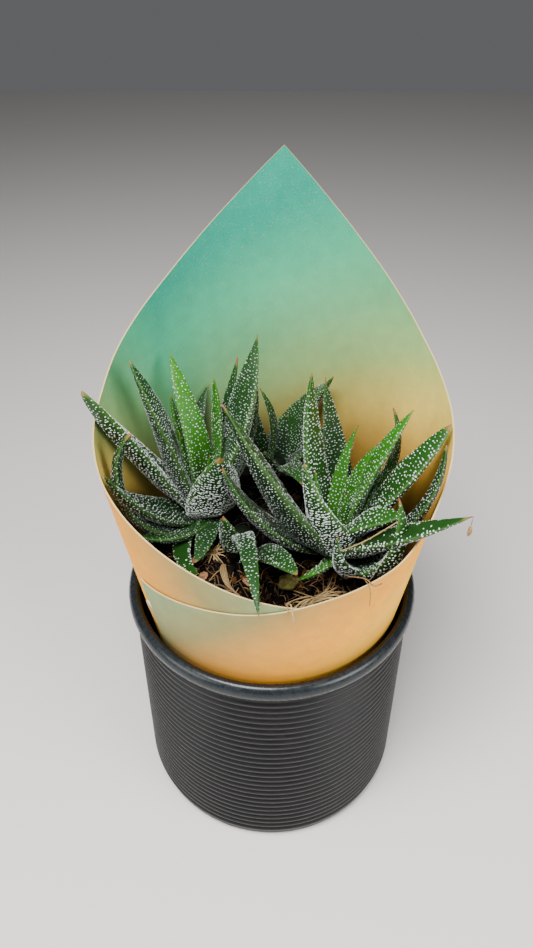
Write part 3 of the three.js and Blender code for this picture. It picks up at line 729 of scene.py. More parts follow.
def cachepot_surface(settings):
    """Profile turned about Z: quarter round foot, ribs as a raised cosine to a power that keeps the
    crests broad and the grooves narrow, a rounded rim, and the plain inside."""
    depth = settings.rib_depth / MM
    quarter = np.linspace(0, np.pi / 2, FOOT_POINTS)
    foot_radii = side_radius(FOOT_ROUND) - depth - FOOT_ROUND * (1 - np.sin(quarter))
    foot = np.stack([foot_radii, FOOT_ROUND * (1 - np.cos(quarter))], axis=1)
    top_groove = RIB_TOP + RIB_PITCH / 2
    low_groove = top_groove - settings.rib_count * RIB_PITCH
    height = np.linspace(low_groove, top_groove, settings.rib_count * RIB_POINTS + 1)
    groove = (0.5 - 0.5 * np.cos(2 * np.pi * (height - RIB_TOP) / RIB_PITCH)) ** RIB_SHARPNESS
    ribs = np.stack([side_radius(height) - depth * groove, height], axis=1)
    rim_low = POT_HEIGHT - RIM_HEIGHT
    neck = side_radius(rim_low) - depth
    rim, _ = smooth_run([(neck, rim_low - 1.5), (neck + 0.1, rim_low - 0.3),
                         *((radius, rim_low + rise) for radius, rise in RIM_PROFILE)], RIM_STEPS)
    profile = np.vstack([[(0, 0)], foot, ribs, rim, WELL_PROFILE, [(0, POT_FLOOR)]])
    past_top = np.arange(RIM_STEPS + 1) > RIM_STEPS // 2
    on_bead = smoothstep(rim_low, rim_low + 2.0, rim[:, 1])
    well_side = past_top * smoothstep(64.2, 61.6, rim[:, 0])
    parts = [(foot, 0, 0, 0), (ribs, 1 - groove, 0, 0), (rim, 0, on_bead, well_side), (WELL_PROFILE, 0, 0, 1)]
    crest, on_rim, inside = (np.concatenate([np.zeros(len(part[0])) + part[index] for part in parts])
                             for index in (1, 2, 3))
    return turned_body(profile, POT_SIDES, crest=crest, rim=on_rim, inside=inside)


# ---- card sleeve

def sleeve_radius(height):
    """Outside of the outer layer."""
    return SLEEVE_REF_RADIUS + SLEEVE_FLARE * (height - SLEEVE_REF_Z)


def layer_inset(angle):
    """The wrap spirals outwards a little, from its inner (left) end to its outer (right) end."""
    return LAYER_STEP * (1 - smoothstep(WRAP_END - 360, 360 - WRAP_END, angle))


def edge_height(angle):
    """Top edge of the card: straight lines between the listed points, averaged over some degrees, which
    smooths the corners. Of the left and the right line the lower one counts, so the tip stays sharp."""
    offsets = np.linspace(-EDGE_ROUNDING, EDGE_ROUNDING, EDGE_SAMPLES)
    weights = 1 - np.abs(offsets) / (EDGE_ROUNDING * 1.2)
    near = [[np.interp(angle + offset, *np.transpose(line)) for offset in offsets]
            for line in (EDGE_LEFT, EDGE_RIGHT)]
    return np.minimum(*(np.tensordot(weights / weights.sum(), side, axes=1) for side in near))


def card_place(angle, height, depth):
    """Point of the card at degrees from the back, right positive, depth millimetres into it."""
    radius = sleeve_radius(height) - layer_inset(angle) - depth
    turn = np.radians(angle)
    return np.stack([radius * np.sin(turn), radius * np.cos(turn), height + 0 * radius], axis=-1)


def inner_print(angle, height):
    """Fade on the inside: teal at the top left, sage, and tan at the lower right, with painted shade that
    makes it darker down between the leaves."""
    across = (angle - INNER_ZERO) * INNER_ACROSS + np.maximum(0, INNER_LEFT - angle) * LEFT_ACROSS
    middle = 1 - smoothstep(*MIDDLE_REACH, np.abs(angle - MIDDLE_ANGLE))
    # painted shade, darker towards the bottom among the leaves
    lit = INNER_LIT + (1 - INNER_LIT) * smoothstep(*INNER_DARK, height)
    # painted shadow of the leaves on the middle of the inside
    lit = lit * (1 - MIDDLE_DARK * middle * smoothstep(*MIDDLE_HEIGHTS, height))
    return ramp(INNER_FADE, INNER_START + (INNER_TOP - height) * INNER_DOWN + across) * lit[..., None]


def outer_print(angle, height):
    """Fade on the outside: grey teal where the two ends meet in front, orange at the sides, and the
    inside's fade behind, with painted shade that makes it darker towards the bottom by the pot's rim."""
    right = (WRAP_END - angle) * RIGHT_ACROSS + (RIGHT_TOP - height) * RIGHT_DOWN
    left = (angle - LEFT_ZERO) * OUTER_LEFT_ACROSS + (LEFT_TOP - height) * LEFT_DOWN
    front = ramp(OUTER_FADE, np.where(angle > 0, right, left))
    behind = ramp(INNER_FADE, INNER_START + (INNER_TOP - height) * BACK_DOWN)
    # painted shade, darker towards the bottom next to the pot's rim
    lit = OUTER_LIT + (1 - OUTER_LIT) * smoothstep(*OUTER_DARK, height)
    return blend(behind, front, smoothstep(FRONT_FROM, FRONT_TO, np.abs(angle))) * lit[..., None]


def card_strip(first_angle, last_angle, sections, low_at, high_at):
    """Card between two angles. Each section runs up the outside, over the cut edge and down the inside.
    The faces of the cut edges are part 1."""
    angle = np.linspace(first_angle, last_angle, sections)
    if first_angle < TIP_ANGLE < last_angle:
        angle[np.argmin(np.abs(angle - TIP_ANGLE))] = TIP_ANGLE
    angle = angle[:, None]
    rise = np.linspace(0, 1, CARD_ROWS)
    low, high = low_at(angle), high_at(angle)
    up = low + (high - low) * rise
    down = up[:, ::-1]
    angles = np.broadcast_to(angle, up.shape)
    rings = np.concatenate([card_place(angles, up, 0.0), card_place(angles, down, CARD)], axis=1)
    colours = np.concatenate([outer_print(angles, up), inner_print(angles, down)], axis=1)
    ends = [rings[i].mean(axis=0) for i in (0, -1)]
    strip = closed_body(rings, *ends, print=colours)
    strip.quad_part[CARD_ROWS - 1::CARD_ROWS] = 1
    strip.triangle_part[:] = 1
    return strip


def sleeve_surface():
    """The wrapped card and the lock tab past its outer end."""
    def taper(angle):
        return TAB_TAPER * np.maximum(0, angle - WRAP_END)

    wrap = card_strip(-WRAP_END, WRAP_END, WRAP_SECTIONS,
                      lambda angle: np.full(angle.shape, SLEEVE_BOTTOM), edge_height)
    tab = card_strip(WRAP_END - 1, WRAP_END + TAB_REACH, TAB_SECTIONS,
                     lambda angle: TAB_LOW + taper(angle), lambda angle: TAB_HIGH - taper(angle))
    bare = smoothstep(*(TAB_HIGH - below for below in TAB_BARE), tab.points[:, 2])
    tab.values["print"] = blend("#b98f55", "#f0e6d0", bare)
    return join([wrap, tab])


# ---- soil

def soil_height(x, y):
    """Domed surface with broad low bumps that fade out at the pot's wall."""
    spread = np.minimum(1, np.hypot(x, y) / SOIL_EDGE_RADIUS)
    bumps = np.sin(x * 0.31 + 1.3) * np.cos(y * 0.27) + np.sin(x * 0.13 - y * 0.22)
    return SOIL_EDGE_Z + SOIL_CROWN * (1 - spread**2) + SOIL_BUMP * bumps * (1 - spread**6)


def soil_surface(settings):
    """Polar grid: the soil's height plus noise of two grain sizes, closed by the pot's slanting wall."""
    turn = turns(SOIL_SIDES)
    share = np.linspace(1, 0, SOIL_RINGS + 1)[:-1, None]
    flat = polar(SOIL_EDGE_RADIUS * share, turn, 0.0)
    x, y = flat[..., 0], flat[..., 1]
    grain = sum(relief * noise(flat, size, seed, 2) for relief, size, seed in SOIL_GRAINS)
    top = polar(SOIL_EDGE_RADIUS * share, turn, soil_height(x, y) + grain * smoothstep(1.0, 0.97, share))
    wall = [polar(SOIL_BASE_RADIUS, turn, SOIL_BOTTOM), polar(SOIL_EDGE_RADIUS, turn, SOIL_WALL_TOP)]
    rings = np.concatenate([wall, top])
    shade = np.clip(0.75 + 0.35 * noise(rings, 2.0, 21, 3), *SOIL_SHADES)
    # painted shade under the leaves
    shade = shade * shade_under_leaves(rings[..., 0], rings[..., 1])
    tint = np.array(settings.soil) * shade[..., None]
    return closed_body(rings, (0, 0, SOIL_BOTTOM), (0, 0, soil_height(0, 0)), tint=tint)


def shade_under_leaves(x, y):
    """Painted shade: 1 on the open soil in front, and darker under the leaves, where they shade it."""
    return LEAF_SHADE + (1 - LEAF_SHADE) * smoothstep(*LEAF_SHADE_EDGE, y - 0.2 * np.abs(x))


def small_lump(seed, sides, rough):
    """A closed lump of about unit size, more or less rough."""
    rng = np.random.default_rng(seed)
    radius = 0.85 * (1 + rough * rng.uniform(-1, 1, (2, sides)))
    height = np.array([[-0.45], [0.45]]) + 0.5 * rough * rng.uniform(-1, 1, (2, sides))
    return small_body(sides, radius, height, -0.9, 0.9)


def random_axes(rng, count, sizes):
    """Three axes for each of count copies: random perpendicular directions, scaled by sizes (count x 3)."""
    turned = np.linalg.qr(rng.normal(size=(count, 3, 3)))[0]
    return turned * sizes[:, :, None]


def disc_places(rng, count, reach):
    """Random places spread evenly over a disc, as x and y."""
    radius = reach * np.sqrt(rng.uniform(0, 1, count))
    turn = rng.uniform(0, 2 * np.pi, count)
    return radius * np.cos(turn), radius * np.sin(turn)


def crumb_surface(settings):
    """Loose crumbs: uneven lumps, many small and few large, from near black to brown and a few tan."""
    rng = np.random.default_rng(31)
    count = settings.crumbs
    x, y = disc_places(rng, count, SOIL_EDGE_RADIUS - 2.0)
    size = np.minimum(CRUMB_LEAST + CRUMB_SPREAD * rng.exponential(1.0, count), CRUMB_MOST)
    sizes = size[:, None] * rng.uniform(*UNEVEN, (count, 3))
    places = np.stack([x, y, soil_height(x, y) + 0.35 * size], axis=-1)
    warm = rng.uniform(0, 1, count) ** 4
    tint = blend("#070402", "#61411f", warm) * rng.uniform(*UNEVEN, (count, 1))
    # the crumbs under the leaves get the same painted shade
    tint *= shade_under_leaves(x, y)[:, None]
    axes = random_axes(rng, count, sizes)
    halves = (slice(count // 2), slice(count // 2, count))
    return join([scattered(small_lump(*shape), places[half], axes[half], tint=tint[half])
                 for shape, half in zip(CRUMB_SHAPES, halves)])


def fibre_surface(settings):
    """Coir fibres: thin strands that bend over the soil, three sides and a few steps each."""
    rng = np.random.default_rng(57)
    x, y = disc_places(rng, settings.fibres, SOIL_EDGE_RADIUS - 6.0)
    fibres = []
    for start_x, start_y in zip(x, y):
        turn = rng.uniform(0, 2 * np.pi)
        length = rng.uniform(*FIBRE_LENGTHS)
        bend = rng.uniform(-FIBRE_BEND, FIBRE_BEND)
        lift = rng.uniform(0.2, 1.8)
        share = np.array([0.0, 0.33, 0.67, 1.0])
        points = (start_x, start_y, 0.0) + polar(length * share, turn + bend * share, 0.0)
        reach = np.hypot(points[:, 0], points[:, 1])
        points *= np.minimum(1.0, (SOIL_EDGE_RADIUS - 1.0) / np.maximum(reach, 1e-6))[:, None]
        points[:, 2] = soil_height(points[:, 0], points[:, 1]) + FIBRE_RISE * lift + 0.3
        tint = blend("#3f2a18", settings.fibre, rng.uniform(0, 1) ** 1.3) * rng.uniform(0.7, 1.25)
        # the fibres under the leaves get the painted shade, twice over
        tint = tint * shade_under_leaves(start_x, start_y) ** 2
        radius = rng.uniform(*FIBRE_RADII)
        fibres.append(strand(points, radius, radius, 6, 3, tint=tint))
    return join(fibres)


# ---- leaves

class Leaf:
    """One leaf. Its midrib starts at the crown and its heading and lift change evenly from root to tip."""

    def __init__(self, crown, row):
        *angles, self.length, self.width, roll, self.point, drop, look, self.dry = row
        self.look = dict(zip(LOOK_VALUES, LOOKS[look]))
        self.headings = np.radians(angles[:2])
        self.lifts = np.radians(angles[2:])
        self.roll = np.radians(roll)
        self.dry_start = 1 - self.dry / self.length
        self.along = np.linspace(0, 1, SPINE_STEPS + 1)
        ahead = self.axes(self.along)[0]
        steps = 0.5 * (ahead[1:] + ahead[:-1]) * self.length / SPINE_STEPS
        root = crown + polar(ROOT_REACH + drop, self.headings[0], -drop)
        self.spine = root + np.vstack([np.zeros(3), np.cumsum(steps, axis=0)])

    def axes(self, along):
        """Unit vectors ahead, across and above at shares of the length."""
        heading = self.headings[0] + (self.headings[1] - self.headings[0]) * along
        lift = self.lifts[0] + (self.lifts[1] - self.lifts[0]) * along
        ahead = polar(np.cos(lift), heading, np.sin(lift))
        level = np.stack([-np.sin(heading), np.cos(heading), 0 * heading], axis=-1)
        upright = np.cross(ahead, level)
        cos, sin = np.cos(self.roll), np.sin(self.roll)
        return ahead, level * cos + upright * sin, upright * cos - level * sin

    def midrib(self, along):
        """Points of the midrib at shares of the length."""
        return np.stack([np.interp(along, self.along, line) for line in self.spine.T], axis=-1)

    def half_width(self, along):
        """Full near the root, then tapering to a fine tip, and shrunk where the tip has dried."""
        swell = np.sin(np.minimum(1, along / ROOT_SWELL) * np.pi / 2)
        taper = (1 - np.clip(along, 0, 1) ** LEAF_FULLNESS) ** self.point
        half = self.width / 2 * taper * (ROOT_WIDTH + (1 - ROOT_WIDTH) * swell)
        return half * (1 - DRY_SHRINK * self.dryness(along))

    def dryness(self, along):
        """0 on the green leaf and 1 over the last, dried millimetres."""
        return smoothstep(self.dry_start - TIP_FADE, self.dry_start + TIP_FADE, along)

    def place(self, along, turn):
        """Point of the skin: the midrib plus an ellipse across it, flat and slightly hollowed above and
        drawn down to a keel below. Turn 0 and 180 degrees are the margins."""
        _, across, above = self.axes(along)
        half = self.half_width(along)
        side, rise = np.cos(turn), np.sin(turn)
        hollow = HOLLOW_DEPTH * np.exp(-(side / HOLLOW_WIDTH) ** 2)
        hollow = hollow * smoothstep(0.02, 0.2, along) * (1 - along)
        upper = half * (LEAF_FLAT - hollow) * rise
        keel = LEAF_KEEL * (KEEL_ROOT + (1 - KEEL_ROOT) * smoothstep(0, KEEL_RISE, along))
        lower = half * keel * (KEEL_FULLNESS * rise - (1 - KEEL_FULLNESS) * (1 - np.abs(side)))
        out = np.where(rise > 0, upper, lower) + LEAF_RIND * rise
        return self.midrib(along) + across * (side * half)[..., None] + above * out[..., None]

    def tint(self, along, turn, settings, rng):
        """Leaf colour: fresh or dark green by face, darker at the root by painted shade, yellower before a
        dried tip.
        """
        green = np.where(np.sin(turn) > 0.05, self.look["upper"], self.look["lower"])
        green = green + rng.uniform(-0.06, 0.06) + 0.10 * smoothstep(0.5, 1.0, along)
        colour = blend(settings.dark, settings.fresh, np.clip(green, 0, 1))
        colour = blend(colour, LEAF_MARGIN, 0.2 * smoothstep(0.85, 1.0, np.abs(np.cos(turn))))
        # painted shade towards the root
        colour = blend(colour, LEAF_ROOT_SHADE, 0.75 * smoothstep(0.32, 0.0, along))
        yellow = smoothstep(self.dry_start - 2 * TIP_FADE, self.dry_start, along)
        colour = blend(colour, LEAF_YELLOW, 0.5 * yellow)
        return blend(colour, settings.dry, self.dryness(along))

    def surface(self, settings, rng):
        """Skin as a grid of rows along the leaf and points around it, closer together near the tip, with
        slow waves in it."""
        along = (1 - (1 - np.linspace(0, 1, LEAF_ROWS + 1)[:-1]) ** ROW_CROWDING)[:, None]
        along, turn = np.broadcast_arrays(along, turns(LEAF_AROUND))
        rings = self.place(along, turn)
        waves = WAVE_DEPTH * noise(rings, WAVE_SIZE, 77) * smoothstep(1.0, 0.8, along)
        rings = rings + self.axes(along)[2] * waves[..., None]
        return closed_body(rings, self.spine[0], self.spine[-1], tint=self.tint(along, turn, settings, rng))

    def tubercle_places(self, rng, face):
        """Shares of the length and turns of the tubercles on one face: staggered rows across the leaf at
        the leaf's spacing, each place shaken, and some left out."""
        spacing, middle = self.look["spacing"], self.look["middle"]
        rows = int(self.length / spacing)
        row = np.arange(2, rows)[:, None]
        column = np.arange(int(1.25 * self.width / spacing) + 2)
        shaken = rng.uniform(-TUBERCLE_SHAKE, TUBERCLE_SHAKE, (2, len(row), len(column)))
        along = (row + shaken[0]) / rows
        reach = 2 * self.half_width(along) * (1.0 if face == "upper" else 1.2)
        share = (column + 0.25 + 0.5 * (row % 2) + shaken[1]) / np.maximum(reach / spacing, 0.5)
        last = 1 - (self.dry + BARE_TIP) / self.length
        kept = (share < 1) & (share > 0) & (along > BARE_ROOT) & (along <= last)
        if face == "upper":
            margin = smoothstep(0.25, 0.42, np.abs(share - 0.5))
            kept &= rng.uniform(0, 1, kept.shape) < middle + (1 - middle) * margin
        along, share = along[kept], share[kept]
        turn = 0.55 * np.arccos(np.clip(1 - 2 * share, -1, 1)) + 0.45 * np.pi * share
        return along, turn if face == "upper" else -turn

    def tubercles(self, face, rng, settings):
        """Low domes that stand on the skin: their places, their axes along the leaf, across it and out of
        it, and their colours."""
        along, turn = self.tubercle_places(rng, face)
        step = 1e-3
        here = self.place(along, turn)
        ahead = self.place(along + step, turn) - self.place(along - step, turn)
        out = np.cross(self.place(along, turn + step) - self.place(along, turn - step), ahead)
        below = self.midrib(along) - self.axes(along)[2] * (0.2 * self.half_width(along))[:, None]
        out *= np.sign(np.sum(out * (here - below), axis=1, keepdims=True))
        ahead, out = unit(ahead), unit(out)
        count = len(along)
        small = 0.55 + 0.45 * smoothstep(1.0, 0.75, along)
        radius = self.look["dot"] * settings.tubercle_size * small * rng.uniform(0.7, 1.2, count)
        stretch = 1 + (self.look["bar"] - 1) * rng.uniform(0, 1.6, count)
        sizes = np.stack([radius, radius * stretch, TUBERCLE_HEIGHT * radius], axis=1)
        axes = np.stack([ahead, np.cross(out, ahead), out], axis=1) * sizes[..., None]
        tint = np.array(settings.tubercle) * self.look["pale"] * rng.uniform(0.6, 1.0, (count, 1))
        return here, axes, tint


def dome():
    """A small closed dome: a wide ring just under the skin, a narrower one above, and two poles."""
    return small_body(5, np.array([[1.0], [0.74]]), np.array([[-0.1], [0.68]]), -0.6, 1.0)


def rosette_leaves(name):
    """The listed leaves, and the small new ones in the middle, each a golden angle on from the last, and
    steeper, shorter and narrower. Also the random numbers that the rosette goes on with."""
    rosette = ROSETTES[name]
    rng = np.random.default_rng(rosette["seed"])
    rows = list(rosette["leaves"])
    for index in range(rosette["inner"]):
        heading = index * GOLDEN_ANGLE + 40 * rng.uniform()
        rows.append((heading, heading, 66 + 6 * index, 76 + 4 * index, 40 - 5 * index, 9 - index, 0, 1.1, 0,
                     INNER_LOOK, 0.6))
    return [Leaf(rosette["crown"], row) for row in rows], rng


def core_surface(crown):
    """The short stem and growing point that the leaves spring from."""
    x, y, z = crown
    foot = soil_height(x, y) - 6.0
    core = turned_body([(0, foot), (STEM_RADIUS, foot), (STEM_RADIUS, z - 5), (CORE_RADIUS, z - 1),
                        (6.4, z + 4), (3, z + 6.4), (0, z + 7)], CORE_SIDES)
    core.points[:, :2] += (x, y)
    # near-black green: painted shade, so the stem reads as lying in shadow
    core.values["tint"] = np.broadcast_to(linear("#0b1407"), core.points.shape)
    return core


# ---- loose bits

def on_soil(place, lift):
    """A point that lies above the soil's mean surface."""
    x, y = place
    return np.array([x, y, soil_height(x, y) + REST + lift])


def bark_surface():
    """A curled strip of bark along its run, split into strands that drift apart and together."""
    rng = np.random.default_rng(17)
    strands = []
    for side in BARK_STRANDS:
        points = [on_soil(place, BARK_HALF_THICKNESS) for place in BARK_RUN]
        drift = BARK_DRIFT[:, None] * side * BARK_HALF_WIDTH * 0.75
        points = np.array(points) + np.hstack([BARK_ACROSS * drift, rng.uniform(-0.1, 0.5, (4, 1))])
        along = np.linspace(0, 1, BARK_STEPS + 1)
        width = rng.uniform(0.42, 0.66) * (0.6 + 0.4 * np.sin(np.pi * along))
        around = turns(BARK_SIDES) + np.pi / BARK_SIDES
        lines = 0.5 + 0.5 * np.sin(9 * along[:, None] + 5 * np.cos(around))
        tint = blend("#4d3a22", "#b3935c", lines * rng.uniform(0.6, 1.0))
        strands.append(strand(points, width, 0.36, BARK_STEPS, BARK_SIDES, tint=tint))
    return join(strands)


def lump_surface(name, place, radii, dark, light, grain):
    """An uneven ball: a sphere of unit directions stretched to its radii and pushed out by noise."""
    rise = np.linspace(-np.pi / 2, np.pi / 2, LUMP_ROWS + 2)[1:-1, None]
    ball = polar(np.cos(rise), turns(LUMP_SIDES), np.sin(rise))
    seed = len(name)
    swell = 1 + LUMP_SWELL * noise(ball * 3.0, 1.6, seed, 2)[..., None]
    shade = np.clip(0.5 + 0.6 * noise(ball * 3.0, grain, seed + 5, 2), 0, 1)
    body = closed_body(ball * swell, (0, 0, -1), (0, 0, 1), tint=blend(dark, light, shade))
    body.points = body.points * np.array(radii) * 0.94 + place
    return body


def chip_surface(name):
    """A flat chip of wood: a lump flattened, stretched and turned to its place."""
    x, y, turn, length, width, thickness = CHIPS[name]
    middle = on_soil((x, y), thickness / 2 + CHIP_LIFT)
    body = lump_surface(name, np.zeros(3), (length / 2, width / 2, thickness / 2), "#6d452a", "#c08a5e", 1.2)
    cos, sin = np.cos(np.radians(turn)), np.sin(np.radians(turn))
    body.points[:, :2] = body.points[:, :2] @ np.array([[cos, sin], [-sin, cos]])
    body.points += middle
    return body


def tuft_surface(tuft):
    """Fibres thrown out both ways from a small knot, curving down to the soil."""
    rng = np.random.default_rng(tuft["seed"])
    knot = np.array(tuft["knot"])
    middle = on_soil(knot, 1.4)
    fibres = []
    for index in range(tuft["strands"]):
        turn = np.radians(tuft["heading"] + 180 * (index % 2) + tuft["spread"] * rng.uniform(-1, 1))
        length = tuft["reach"] * rng.uniform(0.5, 1.15)
        bend = rng.uniform(-0.5, 0.5)
        out = [knot + polar(share * length, turn + bend * share, 0)[:2] for share in (0.35, 0.7, 1.0)]
        rise = rng.uniform(0.5, 2.6)
        start = middle + rng.uniform(-1, 1, 3) * (tuft["loose"], tuft["loose"], 0.9)
        points = [start, on_soil(out[0], rise), on_soil(out[1], 0.6 * rise), on_soil(out[2], -0.2)]
        radius = rng.uniform(*TUFT_RADII)
        tint = blend("#7a5c34", "#cfb07a", rng.uniform(0, 1))
        fibres.append(strand(points, radius, radius, 9, 5, tint=tint))
    return join(fibres)


def straw_surface():
    """The listed straws and threads, round and a little uneven in colour."""
    uneven = (0.85 + 0.15 * np.sin(np.arange(STRAW_STEPS + 1) * 1.7))[:, None, None]
    return join([strand(points, radius, radius, STRAW_STEPS, 6, tint=linear(colour) * uneven)
                 for points, radius, colour in STRAWS])


def scrap_surface():
    """A dried scrap that hangs by a thread from a leaf's tip."""
    name, index = SCRAP_LEAF
    tip = Leaf(ROSETTES[name]["crown"], ROSETTES[name]["leaves"][index]).spine[-1]
    hang = tip - (0, 0, SCRAP_DROP)
    sag = tip + (0.2, 0.5, -0.3 * SCRAP_DROP)
    thread = strand([tip, sag, hang], THREAD_RADIUS, THREAD_RADIUS, 10, 5, tint=linear("#5c4326"))
    centre = hang - (0, 0, 0.8 * SCRAP_RADII[2])
    return join([thread, lump_surface("dry_scrap", centre, SCRAP_RADII, "#4f3519", "#b58f5a", 0.9)])


# ---- stage

def add_light(name, place, aim, width, power):
    """A square area light at a place in millimetres, aimed at a point."""
    data = bpy.data.lights.new(name, "AREA")
    data.size = width * MM
    data.energy = power
    light = bpy.data.objects.new(name, data)
    light.location = Vector(place) * MM
    light.rotation_euler = (Vector(aim) - Vector(place)).to_track_quat("-Z", "Y").to_euler()
    bpy.context.scene.collection.objects.link(light)


def add_camera():
    """The camera at the photograph's angle. The focal length in pixels becomes millimetres of a 36 mm
    sensor along the picture's long side."""
    data = bpy.data.cameras.new("camera")
    data.sensor_width = 36.0
    data.lens = CAMERA_FOCAL_PIXELS / PICTURE_HEIGHT * data.sensor_width
    data.clip_start = 0.01
    camera = bpy.data.objects.new("camera", data)
    turn = Vector(CAMERA_AHEAD).to_track_quat("-Z", "Y").to_matrix().to_4x4()
    camera.matrix_world = Matrix.Translation(Vector(CAMERA_PLACE) * MM) @ turn
    bpy.context.scene.collection.objects.link(camera)
    bpy.context.scene.camera = camera


# ---- operators

class HAWORTHIA_OT_cachepot(bpy.types.Operator):
    """Build the ribbed cachepot"""

    bl_idname = "haworthia.cachepot"
    bl_label = "Cachepot"

    def execute(self, context):
        settings = context.scene.haworthia_cachepot
        place_surface("cachepot_glazed", cachepot_surface(settings), [charcoal_glaze(settings)],
                      ["cachepot"])
        return {"FINISHED"}


class HAWORTHIA_OT_sleeve(bpy.types.Operator):
    """Build the printed card sleeve"""

    bl_idname = "haworthia.sleeve"
    bl_label = "Card sleeve"

    def execute(self, context):
        settings = context.scene.haworthia_sleeve
        core = plain("cut_card", 0.85, settings.card_edge)
        place_surface("card_sleeve_printed", sleeve_surface(), [printed_card(settings), core],
                      ["card_sleeve"], sharp_degrees=40)
        return {"FINISHED"}


class HAWORTHIA_OT_nursery_pot(bpy.types.Operator):
    """Give the nursery pot its black plastic"""

    bl_idname = "haworthia.nursery_pot"
    bl_label = "Nursery pot"

    def execute(self, context):
        plastic = plain("nursery_plastic", 0.4, linear("#1c1b1a"))
        for material_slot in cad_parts["nursery_pot"].material_slots:
            material_slot.material = plastic
        return {"FINISHED"}


class HAWORTHIA_OT_soil(bpy.types.Operator):
    """Build the potting soil with its crumbs and fibres"""

    bl_idname = "haworthia.soil"
    bl_label = "Soil"

    def execute(self, context):
        settings = context.scene.haworthia_soil
        earth = tinted("potting_soil", 0.95, 1.2, 0.5, 0.2, Specular_IOR_Level=0.1)
        coir = tinted("coir", 0.8, 0.6, 0.3)
        place_surface("soil_surface", soil_surface(settings), [earth], ["soil"])
        if settings.crumbs:
            place_surface("soil_crumbs", crumb_surface(settings), [earth])
        if settings.fibres:
            place_surface("soil_fibres", fibre_surface(settings), [coir])
        return {"FINISHED"}


class HAWORTHIA_OT_leaves(bpy.types.Operator):
    """Build the leaves of every rosette"""

    bl_idname = "haworthia.leaves"
    bl_label = "Leaves"

    def execute(self, context):
        settings = context.scene.haworthia_leaf
        skin = leaf_skin()
        for name, rosette in ROSETTES.items():
            leaves, rng = rosette_leaves(name)
            parts = [core_surface(rosette["crown"]), *(leaf.surface(settings, rng) for leaf in leaves)]
            place_surface("leaves_" + name, join(parts), [skin], ["rosette_" + name])
        return {"FINISHED"}


class HAWORTHIA_OT_tubercles(bpy.types.Operator):
    """Build the white tubercles of every rosette"""

    bl_idname = "haworthia.tubercles"
    bl_label = "Tubercles"

    def execute(self, context):
        settings = context.scene.haworthia_leaf
        pearl = tinted("tubercle_pearl", 0.45, 1.0, 0.1)
        template = dome()
        for name in ROSETTES:
            leaves, rng = rosette_leaves(name)
            for face in ("upper", "lower"):
                found = [leaf.tubercles(face, rng, settings) for leaf in leaves]
                places, axes, tints = (np.concatenate(part) for part in zip(*found))
                dots = scattered(template, places, axes, tint=tints)
                place_surface(f"tubercles_{name}_{face}", dots, [pearl])
        return {"FINISHED"}


class HAWORTHIA_OT_loose_bits(bpy.types.Operator):
    """Build the bark, chips, clay lump, tufts, straws and the scrap on a leaf's tip"""

    bl_idname = "haworthia.loose_bits"
    bl_label = "Loose bits"

    def execute(self, context):
        bark = tinted("bark", 0.8, 0.8, 0.35, 0.15)
        clay = tinted("clay", 0.9, 0.7, 0.35, 0.2)
        coir = bpy.data.materials["coir"]
        place_surface("bark_strip_dry", bark_surface(), [bark], ["bark_strip"])
        lump = lump_surface("clay_lump", on_soil(LUMP_PLACE, LUMP_RADII[2]), LUMP_RADII,
                            "#4a4318", "#a39a4e", 0.8)
        place_surface("clay_lump_mossy", lump, [clay], ["clay_lump"])
        for name in CHIPS:
            place_surface(name + "_wood", chip_surface(name), [bark], [name])
        for name, tuft in TUFTS.items():
            place_surface(name + "_fibres", tuft_surface(tuft), [coir], [name])
        place_surface("straws_dry", straw_surface(), [coir])
        place_surface("leaf_scrap_dry", scrap_surface(), [bark])
        return {"FINISHED"}


class HAWORTHIA_OT_stage(bpy.types.Operator):
    """Set the floor, the light and the camera"""

    bl_idname = "haworthia.stage"
    bl_label = "Stage"

    def execute(self, context):
        settings = context.scene.haworthia_stage
        mesh = bpy.data.meshes.new("floor")
        corners = [(x * FLOOR_REACH, y * FLOOR_REACH, 0) for x, y in ((-1, -1), (1, -1), (1, 1), (-1, 1))]
        mesh.from_pydata(corners, [], [(0, 1, 2, 3)])
        mesh.materials.append(plain("pale_floor", 0.85, settings.floor))
        floor = bpy.data.objects.new("floor", mesh)
        context.scene.collection.objects.link(floor)
        world = bpy.data.worlds.new("surround")
        world.use_nodes = True
        background = world.node_tree.nodes["Background"]
        background.inputs["Color"].default_value = (*SURROUND_COLOUR, 1.0)
        background.inputs["Strength"].default_value = settings.surround
        context.scene.world = world
        for name, (place, aim, width, share) in LIGHTS.items():
            add_light(name, place, aim, width, share * settings.key_power)
        add_camera()
        return {"FINISHED"}


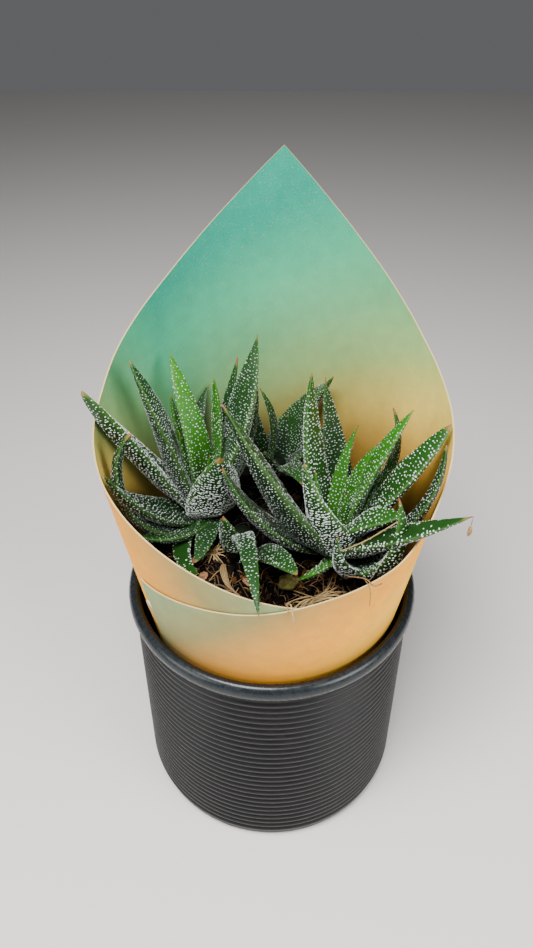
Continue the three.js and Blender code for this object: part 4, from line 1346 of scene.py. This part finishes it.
class HAWORTHIA_PT_panel(bpy.types.Panel):
    """Lists the pieces in the sidebar"""

    bl_label = "Potted haworthia"
    bl_idname = "HAWORTHIA_PT_panel"
    bl_space_type = "VIEW_3D"
    bl_region_type = "UI"
    bl_category = "Haworthia"

    def draw(self, context):
        scene = context.scene
        for operator, settings in (
            (HAWORTHIA_OT_cachepot, scene.haworthia_cachepot), (HAWORTHIA_OT_sleeve, scene.haworthia_sleeve),
            (HAWORTHIA_OT_nursery_pot, None), (HAWORTHIA_OT_soil, scene.haworthia_soil),
            (HAWORTHIA_OT_leaves, scene.haworthia_leaf), (HAWORTHIA_OT_tubercles, None),
            (HAWORTHIA_OT_loose_bits, None), (HAWORTHIA_OT_stage, scene.haworthia_stage),
        ):
            box = self.layout.box()
            box.operator(operator.bl_idname)
            if settings is not None:
                for name in settings.__annotations__:
                    box.prop(settings, name)


SETTINGS = {
    "haworthia_cachepot": CachepotSettings,
    "haworthia_sleeve": SleeveSettings,
    "haworthia_soil": SoilSettings,
    "haworthia_leaf": LeafSettings,
    "haworthia_stage": StageSettings,
}
OPERATORS = (HAWORTHIA_OT_cachepot, HAWORTHIA_OT_sleeve, HAWORTHIA_OT_nursery_pot, HAWORTHIA_OT_soil,
             HAWORTHIA_OT_leaves, HAWORTHIA_OT_tubercles, HAWORTHIA_OT_loose_bits, HAWORTHIA_OT_stage)
CLASSES = (*SETTINGS.values(), *OPERATORS, HAWORTHIA_PT_panel)


def register():
    """Registers the classes and gives every scene its settings."""
    for item in CLASSES:
        bpy.utils.register_class(item)
    for name, settings in SETTINGS.items():
        setattr(bpy.types.Scene, name, PointerProperty(type=settings))


def unregister():
    """Takes the settings and the classes away again."""
    for name in SETTINGS:
        delattr(bpy.types.Scene, name)
    for item in reversed(CLASSES):
        bpy.utils.unregister_class(item)


def main():
    """Builds every piece in order."""
    register()
    for operator in OPERATORS:
        getattr(bpy.ops.haworthia, operator.bl_idname.split(".")[1])()


if __name__ == "__main__":
    main()
